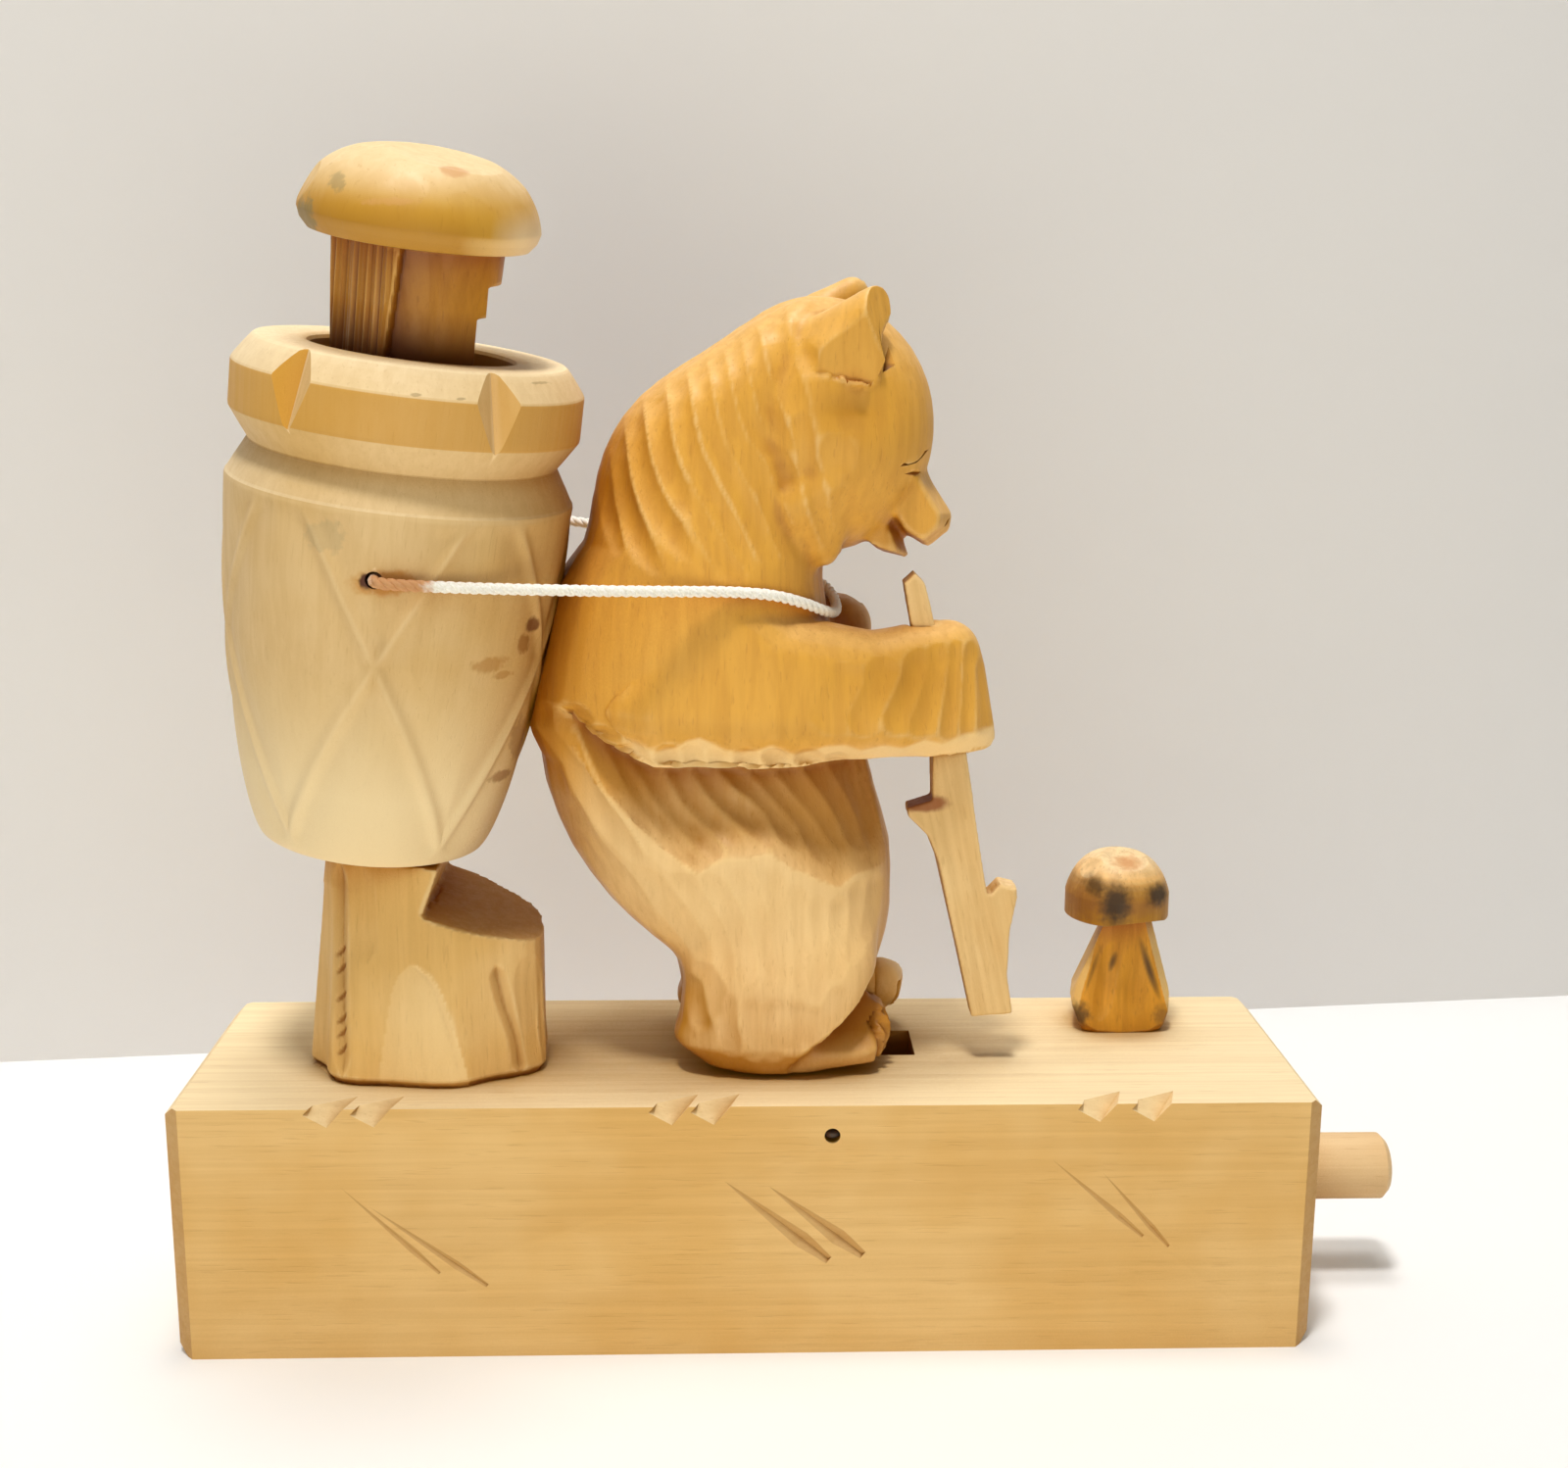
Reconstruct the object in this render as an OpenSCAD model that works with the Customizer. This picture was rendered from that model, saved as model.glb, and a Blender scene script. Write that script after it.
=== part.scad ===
// Rocking bear toy: a carved bear with a pack basket stands on a wooden block.
// A push button in the block's end swings a lever under the bear, and the bear bows on its pivot nail.
// X runs along the block towards the button, Y from front to back, Z up.
// The origin is the middle of the underside.

/* [Base block] */
// Length of the block
base_l = 181; // [165:1:220]
// Depth of the block from front to back
base_w = 48; // [44:1:70]
// Height of the block
base_h = 42; // [39:1:60]
// Chamfer on the block's upright edges
base_edge = 2.5; // [1:0.5:5]
// Chamfer on the top edges of the two ends
base_top_edge = 1.6; // [0.5:0.1:3]
// Width of the chip-carved nicks along the front top edge
nick_w = 4; // [2:0.5:6]

/* [Rocking pivot] */
// Place of the pivot nail along the block, from its middle
pivot_x = 13; // [5:1:20]
// Depth of the pivot nail under the top of the block
pivot_depth = 5; // [4:0.5:7]
// Diameter of the pivot nail
nail_d = 2.4; // [1.8:0.1:3]
// Diameter of the pivot nail's head
nail_head_d = 4.6; // [4:0.1:6]
// Thickness of the pivot nail's head
nail_head_t = 1; // [0.6:0.1:1.5]
// Furthest bow of the bear, in degrees
rock_deg = 10; // [6:1:10]
// Place of the bear's middle plane, from the middle of the block
bear_y = 2.5; // [0:0.5:4]

/* [Lever] */
// Width of the lever along the block
lever_l = 16; // [12:1:18]
// Thickness of the lever across the block
lever_t = 10.4; // [8:0.2:12]
// Reach of the lever under the top of the block
lever_drop = 27; // [26:1:29]
// Height of the lever's tenon inside the bear
lever_rise = 16; // [12:1:20]

/* [Push button] */
// Diameter of the button's dowel
button_d = 11.2; // [9:0.2:12]
// Length of the button that stands out of the block
button_out = 19.5; // [12:0.5:30]
// Depth of the button's axis under the top of the block
button_drop = 23; // [21:0.2:24]
// Radius of the domed inner end
button_nose_r = 8; // [7:0.5:12]
// Chamfer on the outer end
button_edge = 1; // [0.4:0.1:2]
// Diameter of the nail that keeps the button in
stop_d = 2; // [1.5:0.1:2.5]
// Place of the stop nail, from the block's right end
stop_inset = 32; // [20:1:40]

/* [Stump] */
// Width of the stump along the block
stump_l = 38.8; // [36:0.2:44]
// Thickness of the stump across the block
stump_w = 27; // [22:1:34]
// Place of the stump's middle plane
stump_y = -3; // [-6:0.5:3]
// Width of the standing splinter under the basket
splinter_l = 20.6; // [16:0.2:23]
// Height of the sawn face where it meets the splinter
saw_h = 29; // [20:0.5:31]
// Slope of the sawn face, in degrees
saw_slope = 20; // [5:1:25]
// Tilt of the sawn face towards the front, in degrees
saw_tilt = 6; // [0:1:10]
// Diameter of the dowel that pins the stump
stump_dowel_d = 8; // [6:0.5:10]
// Length of the stump's dowel
stump_dowel_l = 24; // [16:1:30]

/* [Basket] */
// Largest radius of the basket
basket_r = 26.3; // [25.8:0.1:27.5]
// Radius of the basket's flat foot
basket_foot_r = 17.4; // [15:0.2:18.6]
// Height of the basket
basket_h = 77.3; // [74:0.1:82]
// Height of the rim ring
rim_h = 15.4; // [13:0.1:17]
// Radius of the groove under the rim
neck_r = 23.2; // [22:0.2:24.5]
// Radius of the opening in the top
basket_hole_r = 15.3; // [14.6:0.1:17]
// Depth of the opening
basket_hole_depth = 30; // [26:1:32]
// Lean of the basket towards the bear, in degrees
basket_lean = 7.5; // [6.8:0.1:7.8]
// Tip of the basket towards the near side, in degrees
basket_tip = 4.3; // [3:0.1:5]
// Place of the basket's middle plane
basket_y = -0.5; // [-2:0.5:2]
// Number of kite-shaped cuts round the rim
rim_cuts = 5; // [3:1:8]
// Diameter of the dowel between basket and bear
back_dowel_d = 6; // [4:0.5:8]
// Length of the dowel between basket and bear
back_dowel_l = 24; // [16:1:28]

/* [Bear] */
// Height of the bear over the block
bear_h = 125; // [122:1:128]
// Width of the bear over its arms
bear_w = 40; // [39:0.5:42]
// Thickness of the walking stick across the bear
stick_t = 4.8; // [4:0.2:6]
// Place of the stick and the near paw, from the bear's middle plane
stick_y = -6.5; // [-8:0.5:-5]

/* [Basket mushroom] */
// Radius of the cap
cap_r = 17.7; // [16.5:0.1:19]
// Height of the cap
cap_h = 13.3; // [12:0.1:18]
// Radius of the stem under the cap
stem_top_r = 12.7; // [12:0.1:13.2]
// Radius of the stem at its foot
stem_foot_r = 10.4; // [9:0.1:12]
// Height of the stem that shows over the basket's rim
stem_show = 15.6; // [10:0.2:22]
// Extra tip of the mushroom in its opening towards the near side, in degrees
stem_tip = 3.4; // [0:0.1:3.8]
// Radius of the stem's tenon in the cap
stem_tenon_r = 4; // [3:0.5:5]

/* [Ground mushroom] */
// Place of the mushroom, from the block's right end
ground_inset = 26; // [20:0.5:34]
// Place of the mushroom across the block
ground_y = 12; // [6:0.5:13]
// Radius of its cap
ground_cap_r = 9.2; // [8:0.1:11]
// Height of its cap
ground_cap_h = 11.4; // [10:0.2:15]
// Width of its stem at the foot
ground_foot_l = 18.2; // [14:0.2:20]
// Height of its stem
ground_stem_h = 19.6; // [14:0.2:22]
// Radius of the round tenons at the two ends of its stem
ground_tenon_r = 2.5; // [2:0.1:3]

/* [Shoulder cord] */
// Diameter of the cord
cord_d = 1.8; // [1.4:0.1:2]
// Diameter of the holes in the basket that hold its ends
cord_hole_d = 2.6; // [2.4:0.1:3.4]

/* [Clearances] */
// Gap of a part that turns on or slides over another, on each side
running = 0.06; // [0.03:0.01:0.1]
// Gap of a glued joint, on each side
glued = 0.04; // [0.02:0.01:0.1]
// Gap between parts that only rest on each other
resting = 0.2; // [0.1:0.05:0.3]
// Gap at the sides of the lever in its slot
slot_gap = 0.4; // [0.2:0.1:0.6]

/* [Hidden] */
$fn = 64;
eps = 0.01;

// Heights and places on the block, the nicks' places as shares of its length
nick_places = [-0.36, -0.32, -0.066, -0.03, 0.303, 0.35];
pivot_z = base_h - pivot_depth;
button_z = base_h - button_drop;
lever_arm = button_drop - pivot_depth;

// The slot follows the sweep of the lever's lower end, with room to spare at both ends
slot_room = 3;
lever_tip = lever_drop - pivot_depth;
slot_left = lever_l / 2 * cos(rock_deg) + lever_tip * sin(rock_deg) + slot_room;
slot_right = lever_l / 2 + lever_tip * sin(rock_deg) + slot_room;
slot_w = lever_t + 2 * slot_gap;
slot_floor = pivot_z - lever_tip - lever_l / 2 * sin(rock_deg) - slot_room;

// Travel of the button while the bear bows through rock_deg
nose_reach = lever_l / 2 + button_nose_r;
button_travel = lever_arm * tan(rock_deg) - nose_reach * (1 / cos(rock_deg) - 1);
button_in_x = pivot_x + lever_l / 2 + resting;
button_l = base_l / 2 + button_out - button_in_x;
button_notch_depth = 3;
stop_x = base_l / 2 - stop_inset;
ground_x = base_l / 2 - ground_inset;
stop_play = 0.5;
nail_inset = 0.6;
dowel_end_gap = 0.3;

// The basket stands behind the bear: its foot's middle, from the pivot at the block's top
basket_back = -73.6;
basket_rise = 38.3;
basket_x = pivot_x + basket_back;
basket_z = base_h + basket_rise;
shoulder_h = 5.5;
belly_h = basket_h - rim_h - shoulder_h;
rim_edge = 3.9;
rim_flare = 4.6;
rim_top_r = basket_r - 3.1;
hole_floor = basket_h - basket_hole_depth;
stem_h = basket_hole_depth + stem_show;
stem_tenon_l = 8;
stem_lift = stem_foot_r * sin(stem_tip) + glued;
stem_split_turn = -136;
stem_split_r = 10.9;
cap_lip = 2.6;
rim_cut_slope = atan((basket_r - rim_top_r) / (rim_h - rim_flare));
rim_cut_open = 61;
rim_cut_in = 0.4;
rim_cut_turn = -57;
back_dowel_h = 30;
back_dowel_mid = basket_r - 2;

// The bear's own frame has its origin on the block's top, over the pivot.
// The carving is drawn at one height and width there, and stretched from these to its size.
drawn_h = 125;
drawn_w = 40;
bear_stretch = [bear_h / drawn_h, bear_w / drawn_w, bear_h / drawn_h];
// Torso: height, back, front, half width as a share of the bear's half width
torso_rows = [
    [10, -24.0, 7.0, 0.66], [16.5, -25.0, 9.0, 0.7], [21, -29.8, 10.2, 0.76], [27, -36.0, 10.8, 0.82],
    [36, -42.1, 10.6, 0.89], [46, -45.9, 7.6, 0.93], [57, -46.7, 4.6, 0.95], [68.5, -44.7, 1.4, 0.95],
    [79.5, -41.3, -0.8, 0.9], [88.7, -38.1, 0.0, 0.84], [95.6, -36.9, 1.0, 0.8], [101.6, -34.6, 1.0, 0.77],
    [107.7, -30.0, 1.0, 0.73], [113, -22.4, 1.0, 0.66], [119, -13.2, 0.5, 0.52], [122.4, -6.5, -2.0, 0.3]
];
head_at = [-2, 0, 103];
head_r = [18.4, 15.8, 20.2];

// Side views of the upper muzzle and the lower jaw, each with the point that its bevels shrink to
muzzle_side = [
    [0, 99], [15.2, 97], [16.2, 94.6], [19.7, 89.2], [19.2, 86.5], [15.9, 83.7],
    [12.3, 85.9], [9, 91], [0, 91]
];
muzzle_mid = [9, 91.5];
jaw_side = [[-2, 93], [8.6, 91.4], [11.6, 86], [13, 82], [8.8, 82.9], [5.6, 85], [-2, 84]];
jaw_mid = [4, 88];
muzzle_w = 15;
jaw_w = 12;
far_ear_shift = [-2.5, 0, 2];
sole_gap = 0.35;
near_toe = [6.2, -9.4, 6.7];
far_toe = [9.8, 9.4, 8.6];

// Side view of the walking stick, with two trimmed twigs
stick_side = [
    [11.3, 79.2], [13, 80.8], [14.6, 79.2], [21.7, 52.2], [25.8, 28.2], [27.8, 30.4], [30.6, 29.7],
    [30.7, 28], [29.6, 22.5], [29.3, 15], [30.4, 8.2], [23.7, 7.7], [20.4, 22], [17.4, 34.5],
    [15.8, 38.4], [12.6, 41.8], [12.5, 43.1], [16.5, 44.4], [16.3, 51.2]
];

// Route of the shoulder cord from one basket hole round the bear's chest to the other, in the bear's frame
cord_route = [
    [-66.4, -25, 82.6], [-66.4, -29, 82.6], [-66.4, -32.6, 82.6], [-65.4, -34.2, 82.5], [-63, -34.2, 82.2],
    [-54, -31.3, 81.4], [-44, -28, 80.7], [-34, -24.8, 80.1], [-24, -21.6, 79.6], [-16, -19, 79.2],
    [-9.4, -16.8, 78.4], [-4.6, -13.6, 76.8], [-1, -9.8, 75], [0.7, -5, 74.2], [1.2, 0, 74.6],
    [0.6, 4.8, 76], [-1.4, 9.2, 77.4], [-5, 13.7, 79], [-10.4, 17.2, 80.5], [-17, 19.4, 82],
    [-25, 20, 83.3], [-34, 20.2, 84.7], [-44, 20.4, 86.2], [-54, 20.6, 87.5], [-62, 21, 88.3],
    [-65, 20.8, 88.5], [-66, 19.4, 88.5], [-66.2, 16.5, 88.5], [-66.2, 13, 88.5]
];
cord_sides = 8;
cord_path = [for (p = cord_route)
    [p[0] * bear_stretch[0], p[1] * max(1, bear_stretch[1]), p[2] * bear_stretch[2]]];
stick_outline = stick_side * bear_stretch[0];

// Stump: height as a share of its own, back and front as shares of its half length, share of its thickness
stump_rows = [[0, -1, 1, 1], [0.12, -0.98, 0.995, 0.97], [0.5, -0.9, 0.98, 0.9], [1, -0.77, 0.96, 0.82]];
stump_x = basket_x + 8.8;
stump_block_h = 1.1 * basket_rise;
stump_flutes = 7;
stump_flute_depth = 0.045;

// Ground mushroom's stem: height as a share of its own, back, front and half thickness as shares of its foot
ground_rows = [
    [0, -0.42, 0.42, 0.31], [0.2, -0.5, 0.5, 0.39], [0.6, -0.39, 0.4, 0.31], [1, -0.29, 0.28, 0.25]
];
ground_peg_l = 10;
ground_tenon_l = 6;
ground_peg_h = ground_peg_l + ground_stem_h + ground_tenon_l;
ground_cap_shift = -0.8;
ground_cap_lip = 2;

// Smooth curves and lofts

function catmull(a, b, c, d, u) =
    0.5 * (2 * b + (c - a) * u + (2 * a - 5 * b + 4 * c - d) * u * u + (3 * b - a - 3 * c + d) * u * u * u);

function smooth_rows(rows, steps) = let (last = len(rows) - 1) [
    for (i = [0:last - 1], s = [0:steps - 1])
        catmull(rows[max(i - 1, 0)], rows[i], rows[i + 1], rows[min(i + 2, last)], s / steps),
    rows[last]
];

function rounded(v, power) = sign(v) * pow(abs(v), 2 / power);

// Triangles of a tube of equal rings, closed by a fan at each end
function tube_faces(rings, sides) = concat(
    [for (r = [0:rings - 2], s = [0:sides - 1]) let (t = (s + 1) % sides)
        each [[r * sides + s, (r + 1) * sides + s, (r + 1) * sides + t],
              [r * sides + s, (r + 1) * sides + t, r * sides + t]]],
    [for (s = [1:sides - 2]) [0, s, s + 1]],
    [for (s = [1:sides - 2]) let (o = (rings - 1) * sides) [o, o + s + 1, o + s]]
);

// Solid from level rows of height, back, front and half width, with an oval of the given power at each
module loft(rows, sides, power, flutes = 0, flute_depth = 0) {
    points = [for (row = rows, s = [0:sides - 1])
        let (a = 360 * s / sides,
             grow = 1 - flute_depth * (1 - row[0] / rows[len(rows) - 1][0]) * cos(flutes * a))
        [(row[1] + row[2]) / 2 + (row[2] - row[1]) / 2 * rounded(cos(a), power) * grow,
         row[3] * rounded(sin(a), power) * grow, row[0]]];
    polyhedron(points, tube_faces(len(rows), sides), convexity = 6);
}

// Flat side view made a solid of width w about the XZ plane, its two faces shrunk towards mid
module bevelled_plate(side_view, mid, w, shrink) {
    for (turn = [0, 1])
        translate([mid[0], 0, mid[1]])
            mirror([0, turn, 0])
                rotate([90, 0, 0])
                    linear_extrude(w / 2, scale = shrink) polygon([for (p = side_view) p - mid]);
}

module ball(at, r) {
    translate(at) sphere(r, $fn = 22);
}

// Frames

module on_bear() {
    translate([pivot_x, bear_y, base_h]) children();
}

module on_basket() {
    translate([basket_x, basket_y, basket_z]) rotate([basket_tip, basket_lean, 0]) children();
}

module on_stump() {
    translate([stump_x, stump_y, base_h]) children();
}

module on_ground_mushroom() {
    translate([ground_x, ground_y, base_h]) children();
}

// Base and the parts fixed in it

module edge_nick(x) {
    run = [4, 5, 3];
    translate([x, -base_w / 2, base_h - run[2]])
        rotate([0, -atan2(run[2], norm([run[0], run[1]])), atan2(run[1], run[0])])
            rotate([45, 0, 0])
                translate([-base_w / 4, 0, 0]) cube([base_w / 2, nick_w, nick_w]);
}

// Corners of an l by w rectangle about the origin with its corners cut off by c
function cut_rectangle(l, w, c) = [
    [l / 2 - c, -w / 2], [l / 2, -w / 2 + c], [l / 2, w / 2 - c], [l / 2 - c, w / 2],
    [-l / 2 + c, w / 2], [-l / 2, w / 2 - c], [-l / 2, -w / 2 + c], [-l / 2 + c, -w / 2]
];

module chamfered_block() {
    intersection() {
        linear_extrude(base_h) polygon(cut_rectangle(base_l, base_w, base_edge));
        translate([0, 0, base_h / 2])
            rotate([90, 0, 0])
                linear_extrude(base_w, center = true) polygon(cut_rectangle(base_l, base_h, base_top_edge));
    }
}

module base_block() {
    color("burlywood")
        difference() {
            chamfered_block();
            translate([pivot_x - slot_left, bear_y - slot_w / 2, slot_floor])
                cube([slot_left + slot_right, slot_w, base_h]);
            translate([pivot_x, 0, button_z])
                rotate([0, 90, 0]) translate([0, bear_y, 0]) cylinder(h = base_l, r = button_d / 2 + running);
            translate([pivot_x, 0, pivot_z])
                rotate([90, 0, 0]) cylinder(h = 2 * base_w, r = nail_d / 2 + glued, center = true);
            translate([pivot_x, base_w / 2 - nail_head_t, pivot_z])
                rotate([-90, 0, 0]) cylinder(h = base_w, r = nail_head_d / 2 + glued);
            translate([stop_x, bear_y, -eps]) cylinder(h = button_z, r = stop_d / 2 + glued);
            on_stump()
                translate([0, 0, -stump_dowel_l / 2])
                    cylinder(h = stump_dowel_l, r = stump_dowel_d / 2 + glued);
            on_ground_mushroom()
                translate([0, 0, -ground_peg_l]) cylinder(h = base_h, r = ground_tenon_r + glued);
            for (share = nick_places) edge_nick(share * base_l);
        }
}

module pivot_nail() {
    color("dimgray")
        translate([pivot_x, 0, pivot_z])
            rotate([-90, 0, 0]) {
                translate([0, 0, -base_w / 2 + nail_inset])
                    cylinder(h = base_w - nail_inset - eps, r = nail_d / 2);
                translate([0, 0, base_w / 2 - nail_head_t]) cylinder(h = nail_head_t, r = nail_head_d / 2);
            }
}

module stop_nail() {
    reach = button_z - button_d / 2 + button_notch_depth - stop_play;
    color("dimgray") translate([stop_x, bear_y, 0]) cylinder(h = reach, r = stop_d / 2);
}

module stump() {
    color("wheat")
        difference() {
            on_stump()
                loft([for (row = smooth_rows(stump_rows, 3))
                    [row[0] * stump_block_h, row[1] * stump_l / 2,
                     row[2] * stump_l / 2, row[3] * stump_w / 2]],
                    42, 2.2, stump_flutes, stump_flute_depth);
            // The top of the splinter follows the basket's leaning foot
            on_basket() translate([-base_l, -base_w, -resting]) cube([2 * base_l, 2 * base_w, base_h]);
            // The sawn face falls away from the splinter
            on_stump()
                translate([-stump_l / 2 + splinter_l, 0, saw_h])
                    rotate([saw_tilt, saw_slope, 0])
                        translate([0, -base_w, 0]) cube([base_l, 2 * base_w, base_h]);
            on_stump() translate([0, 0, -eps]) cylinder(h = stump_dowel_l / 2, r = stump_dowel_d / 2 + glued);
        }
}

module stump_dowel() {
    color("peru")
        on_stump()
            translate([0, 0, -stump_dowel_l / 2 + dowel_end_gap])
                cylinder(h = stump_dowel_l - 2 * dowel_end_gap, r = stump_dowel_d / 2);
}

module ground_mushroom_stem() {
    color("goldenrod")
        on_ground_mushroom() {
            loft([for (row = smooth_rows(ground_rows, 2))
                [row[0] * ground_stem_h, row[1] * ground_foot_l,
                 row[2] * ground_foot_l, row[3] * ground_foot_l]],
                16, 3.4);
            translate([0, 0, -ground_peg_l + dowel_end_gap])
                cylinder(h = ground_peg_h - dowel_end_gap, r = ground_tenon_r);
        }
}

// Dome of a mushroom cap: a flat-topped quarter curve with a thick lip
module cap_dome(r, h, lip) {
    steps = 14;
    rotate_extrude($fn = 72)
        polygon(concat([[0, 0], [r - lip, 0]],
            [for (i = [0:steps]) let (a = 90 * i / steps)
                [r * pow(cos(a), 0.72), lip * 0.7 + (h - lip * 0.7) * pow(sin(a), 1.12)]]));
}

module ground_mushroom_cap() {
    color("tan")
        difference() {
            on_ground_mushroom()
                translate([ground_cap_shift, 0, ground_stem_h + glued])
                    cap_dome(ground_cap_r, ground_cap_h, ground_cap_lip);
            on_ground_mushroom()
                cylinder(h = ground_stem_h + ground_tenon_l + resting, r = ground_tenon_r + glued);
        }
}

// Button

module push_button() {
    color("wheat")
        translate([button_in_x, bear_y, button_z])
            difference() {
                rotate([0, 90, 0]) button_dowel();
                translate([stop_x - button_in_x - stop_d / 2 - stop_play, -button_d, -button_d / 2 - eps])
                    cube([stop_d + button_travel + 2 * stop_play, 2 * button_d, button_notch_depth]);
            }
}

// Dowel along its own axis: a domed nose at the start, a chamfered end
module button_dowel() {
    r = button_d / 2;
    half_angle = asin(r / button_nose_r);
    steps = 8;
    rotate_extrude($fn = 72)
        polygon(concat(
            [for (i = [0:steps]) let (a = half_angle * i / steps)
                [button_nose_r * sin(a), button_nose_r * (1 - cos(a))]],
            [[r, button_l - button_edge], [r - button_edge, button_l], [0, button_l]]));
}

// Bear and what moves with it

module bear_lever() {
    color("burlywood")
        on_bear()
            difference() {
                translate([-lever_l / 2, -lever_t / 2, -lever_drop])
                    cube([lever_l, lever_t, lever_drop + lever_rise]);
                translate([0, 0, -pivot_depth])
                    rotate([90, 0, 0]) cylinder(h = 2 * base_w, r = nail_d / 2 + running, center = true);
            }
}

module bear_torso() {
    loft([for (row = smooth_rows(torso_rows, 2)) [row[0], row[1], row[2], row[3] * drawn_w / 2]], 40, 2.15);
}

module bear_head() {
    translate(head_at) scale(head_r) sphere(1, $fn = 44);
    bevelled_plate(muzzle_side, muzzle_mid, muzzle_w, 0.74);
    bevelled_plate(jaw_side, jaw_mid, jaw_w, 0.72);
    // Cheek fur that hangs beside the jaw
    for (side = [-1, 1])
        hull() {
            ball([-5, side * 9.5, 92], 6);
            ball([0, side * 9, 97], 6);
            ball([-1.5, side * 7.5, 84.6], 3);
        }
}

module bear_ear(side) {
    difference() {
        hull() {
            ball([-0.5, side * 12, 113.6], 3.2);
            ball([4, side * 14, 112.6], 3);
            ball([7.6, side * 12.8, 119.2], 2.6);
            ball([6.4, side * 11.4, 121.8], 2.7);
            ball([-2.5, side * 8.5, 116], 4);
        }
        ball([13.4, side * 12.6, 116.2], 6.4);
    }
}

// One leg with its foot; toe is the place of the middle toe
module bear_leg(side, toe) {
    hull() {
        ball([-15.5, side * 8.4, 18], 8);
        ball([0.5, side * 8.4, 18.5], 8);
        ball([-19.6, side * 7.6, 8], 4.8);
        sole([-15, side * 8, 1], 5.4);
        sole([-10, side * 8.2, sole_gap], 6.4);
        sole([-5, side * 8.2, sole_gap], 6.4);
    }
    hull() {
        sole([-7, side * 8.2, sole_gap], 6.4);
        sole([0.5, side * 8.6, 1.1], 4.4);
        sole(toe + [-1, side * 0.4, -4.75], 4.4);
        ball([-6, side * 8.2, 8], 5.5);
        ball(toe + [-0.4, -side * 4, 0.4], 4.2);
        ball(toe, 4.4);
        ball(toe + [-1.2, side * 2.8, 0], 3.9);
    }
}

module sole(at, r) {
    translate(at) cylinder(h = 1, r = r, $fn = 22);
}

module bear_near_arm() {
    hull() {
        ball([-27, -11.2, 60], 8.6);
        ball([-10, -12.4, 59], 7.5);
        ball([-10, -11.4, 68], 7.5);
        ball([-20, -10, 76], 8);
    }
    hull() {
        ball([-10, -12.4, 59], 7.5);
        ball([-10, -11.4, 68], 7.5);
        ball([8, -10, 58.6], 7);
        ball([6, -9.6, 65.6], 6.5);
    }
    hull() {
        ball([8, -10, 58.6], 7);
        ball([6, -9.6, 65.6], 6.5);
        ball([20, stick_y, 59], 5.8);
        ball([18.4, stick_y, 67.8], 5.4);
        ball([19, stick_y + 1.5, 64], 6);
        ball([24.2, stick_y, 56.4], 2.4);
    }
}

module bear_far_arm() {
    hull() {
        ball([-27, 11.2, 60], 8.6);
        ball([-10, 12.4, 60], 7.5);
        ball([-20, 10, 76], 8);
    }
    hull() {
        ball([-10, 12.4, 60], 7.5);
        ball([-8, 11.4, 68], 7);
        ball([1.8, 8.6, 69.6], 6);
        ball([1.4, 9.4, 64], 6);
    }
}

// The stick's side view as a plate, grown by gap on every side
module stick_plate(gap) {
    translate([0, stick_y, 0])
        rotate([90, 0, 0])
            linear_extrude(stick_t + 2 * gap, center = true) offset(delta = gap) polygon(stick_outline);
}

module bear_carving() {
    color("goldenrod")
        difference() {
            on_bear()
                scale(bear_stretch) {
                    bear_torso();
                    bear_head();
                    bear_ear(-1);
                    translate(far_ear_shift) bear_ear(1);
                    bear_leg(-1, near_toe);
                    bear_leg(1, far_toe);
                    bear_near_arm();
                    bear_far_arm();
                }
            on_bear()
                translate([-lever_l / 2 - glued, -lever_t / 2 - glued, -base_h])
                    cube([lever_l + 2 * glued, lever_t + 2 * glued, base_h + lever_rise + glued]);
            on_bear() stick_plate(glued);
            on_basket() basket_turning(resting / 2);
            back_dowel_bar(glued);
        }
}

module walking_stick() {
    color("wheat")
        on_bear()
            translate([0, stick_y, 0])
                rotate([90, 0, 0]) linear_extrude(stick_t, center = true) polygon(stick_outline);
}

// The turned basket as a solid of revolution, grown by gap
module basket_turning(gap) {
    steps = 16;
    belly = [for (i = [1:steps]) let (u = i / steps)
        [basket_foot_r + (basket_r - basket_foot_r) * pow(sin(90 * u), 0.67) + gap, belly_h * u]];
    rotate_extrude($fn = 96)
        polygon(concat([[0, -gap], [basket_foot_r + gap, -gap]], belly,
            [[neck_r + gap, basket_h - rim_h], [basket_r + gap, basket_h - rim_h + rim_flare],
             [basket_r + gap, basket_h - rim_edge], [rim_top_r + gap, basket_h + gap], [0, basket_h + gap]]));
}

// Kite-shaped cut: a shallow V whose valley runs from the top's edge to the foot of the ring's band
module rim_cut() {
    side = rim_h * tan(rim_cut_open);
    translate([rim_top_r - rim_cut_in, 0, basket_h])
        rotate([0, -rim_cut_slope, 0])
            linear_extrude(2 * basket_h, center = true) polygon([[0, 0], [rim_h, -side], [rim_h, side]]);
}

// Cross hole that holds one end of the shoulder cord
module cord_hole(end) {
    on_bear()
        translate(cord_path[end])
            rotate([cord_path[end][1] < 0 ? 90 : -90, 0, 0])
                translate([0, 0, -resting]) cylinder(h = basket_r, r = cord_hole_d / 2);
}

module basket() {
    color("wheat")
        difference() {
            on_basket()
                difference() {
                    basket_turning(0);
                    translate([0, 0, hole_floor]) cylinder(h = basket_h, r = basket_hole_r, $fn = 96);
                    for (i = [0:rim_cuts - 1]) rotate([0, 0, rim_cut_turn + 360 * i / rim_cuts]) rim_cut();
                }
            cord_hole(0);
            cord_hole(len(cord_path) - 1);
            back_dowel_bar(glued);
        }
}

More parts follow.
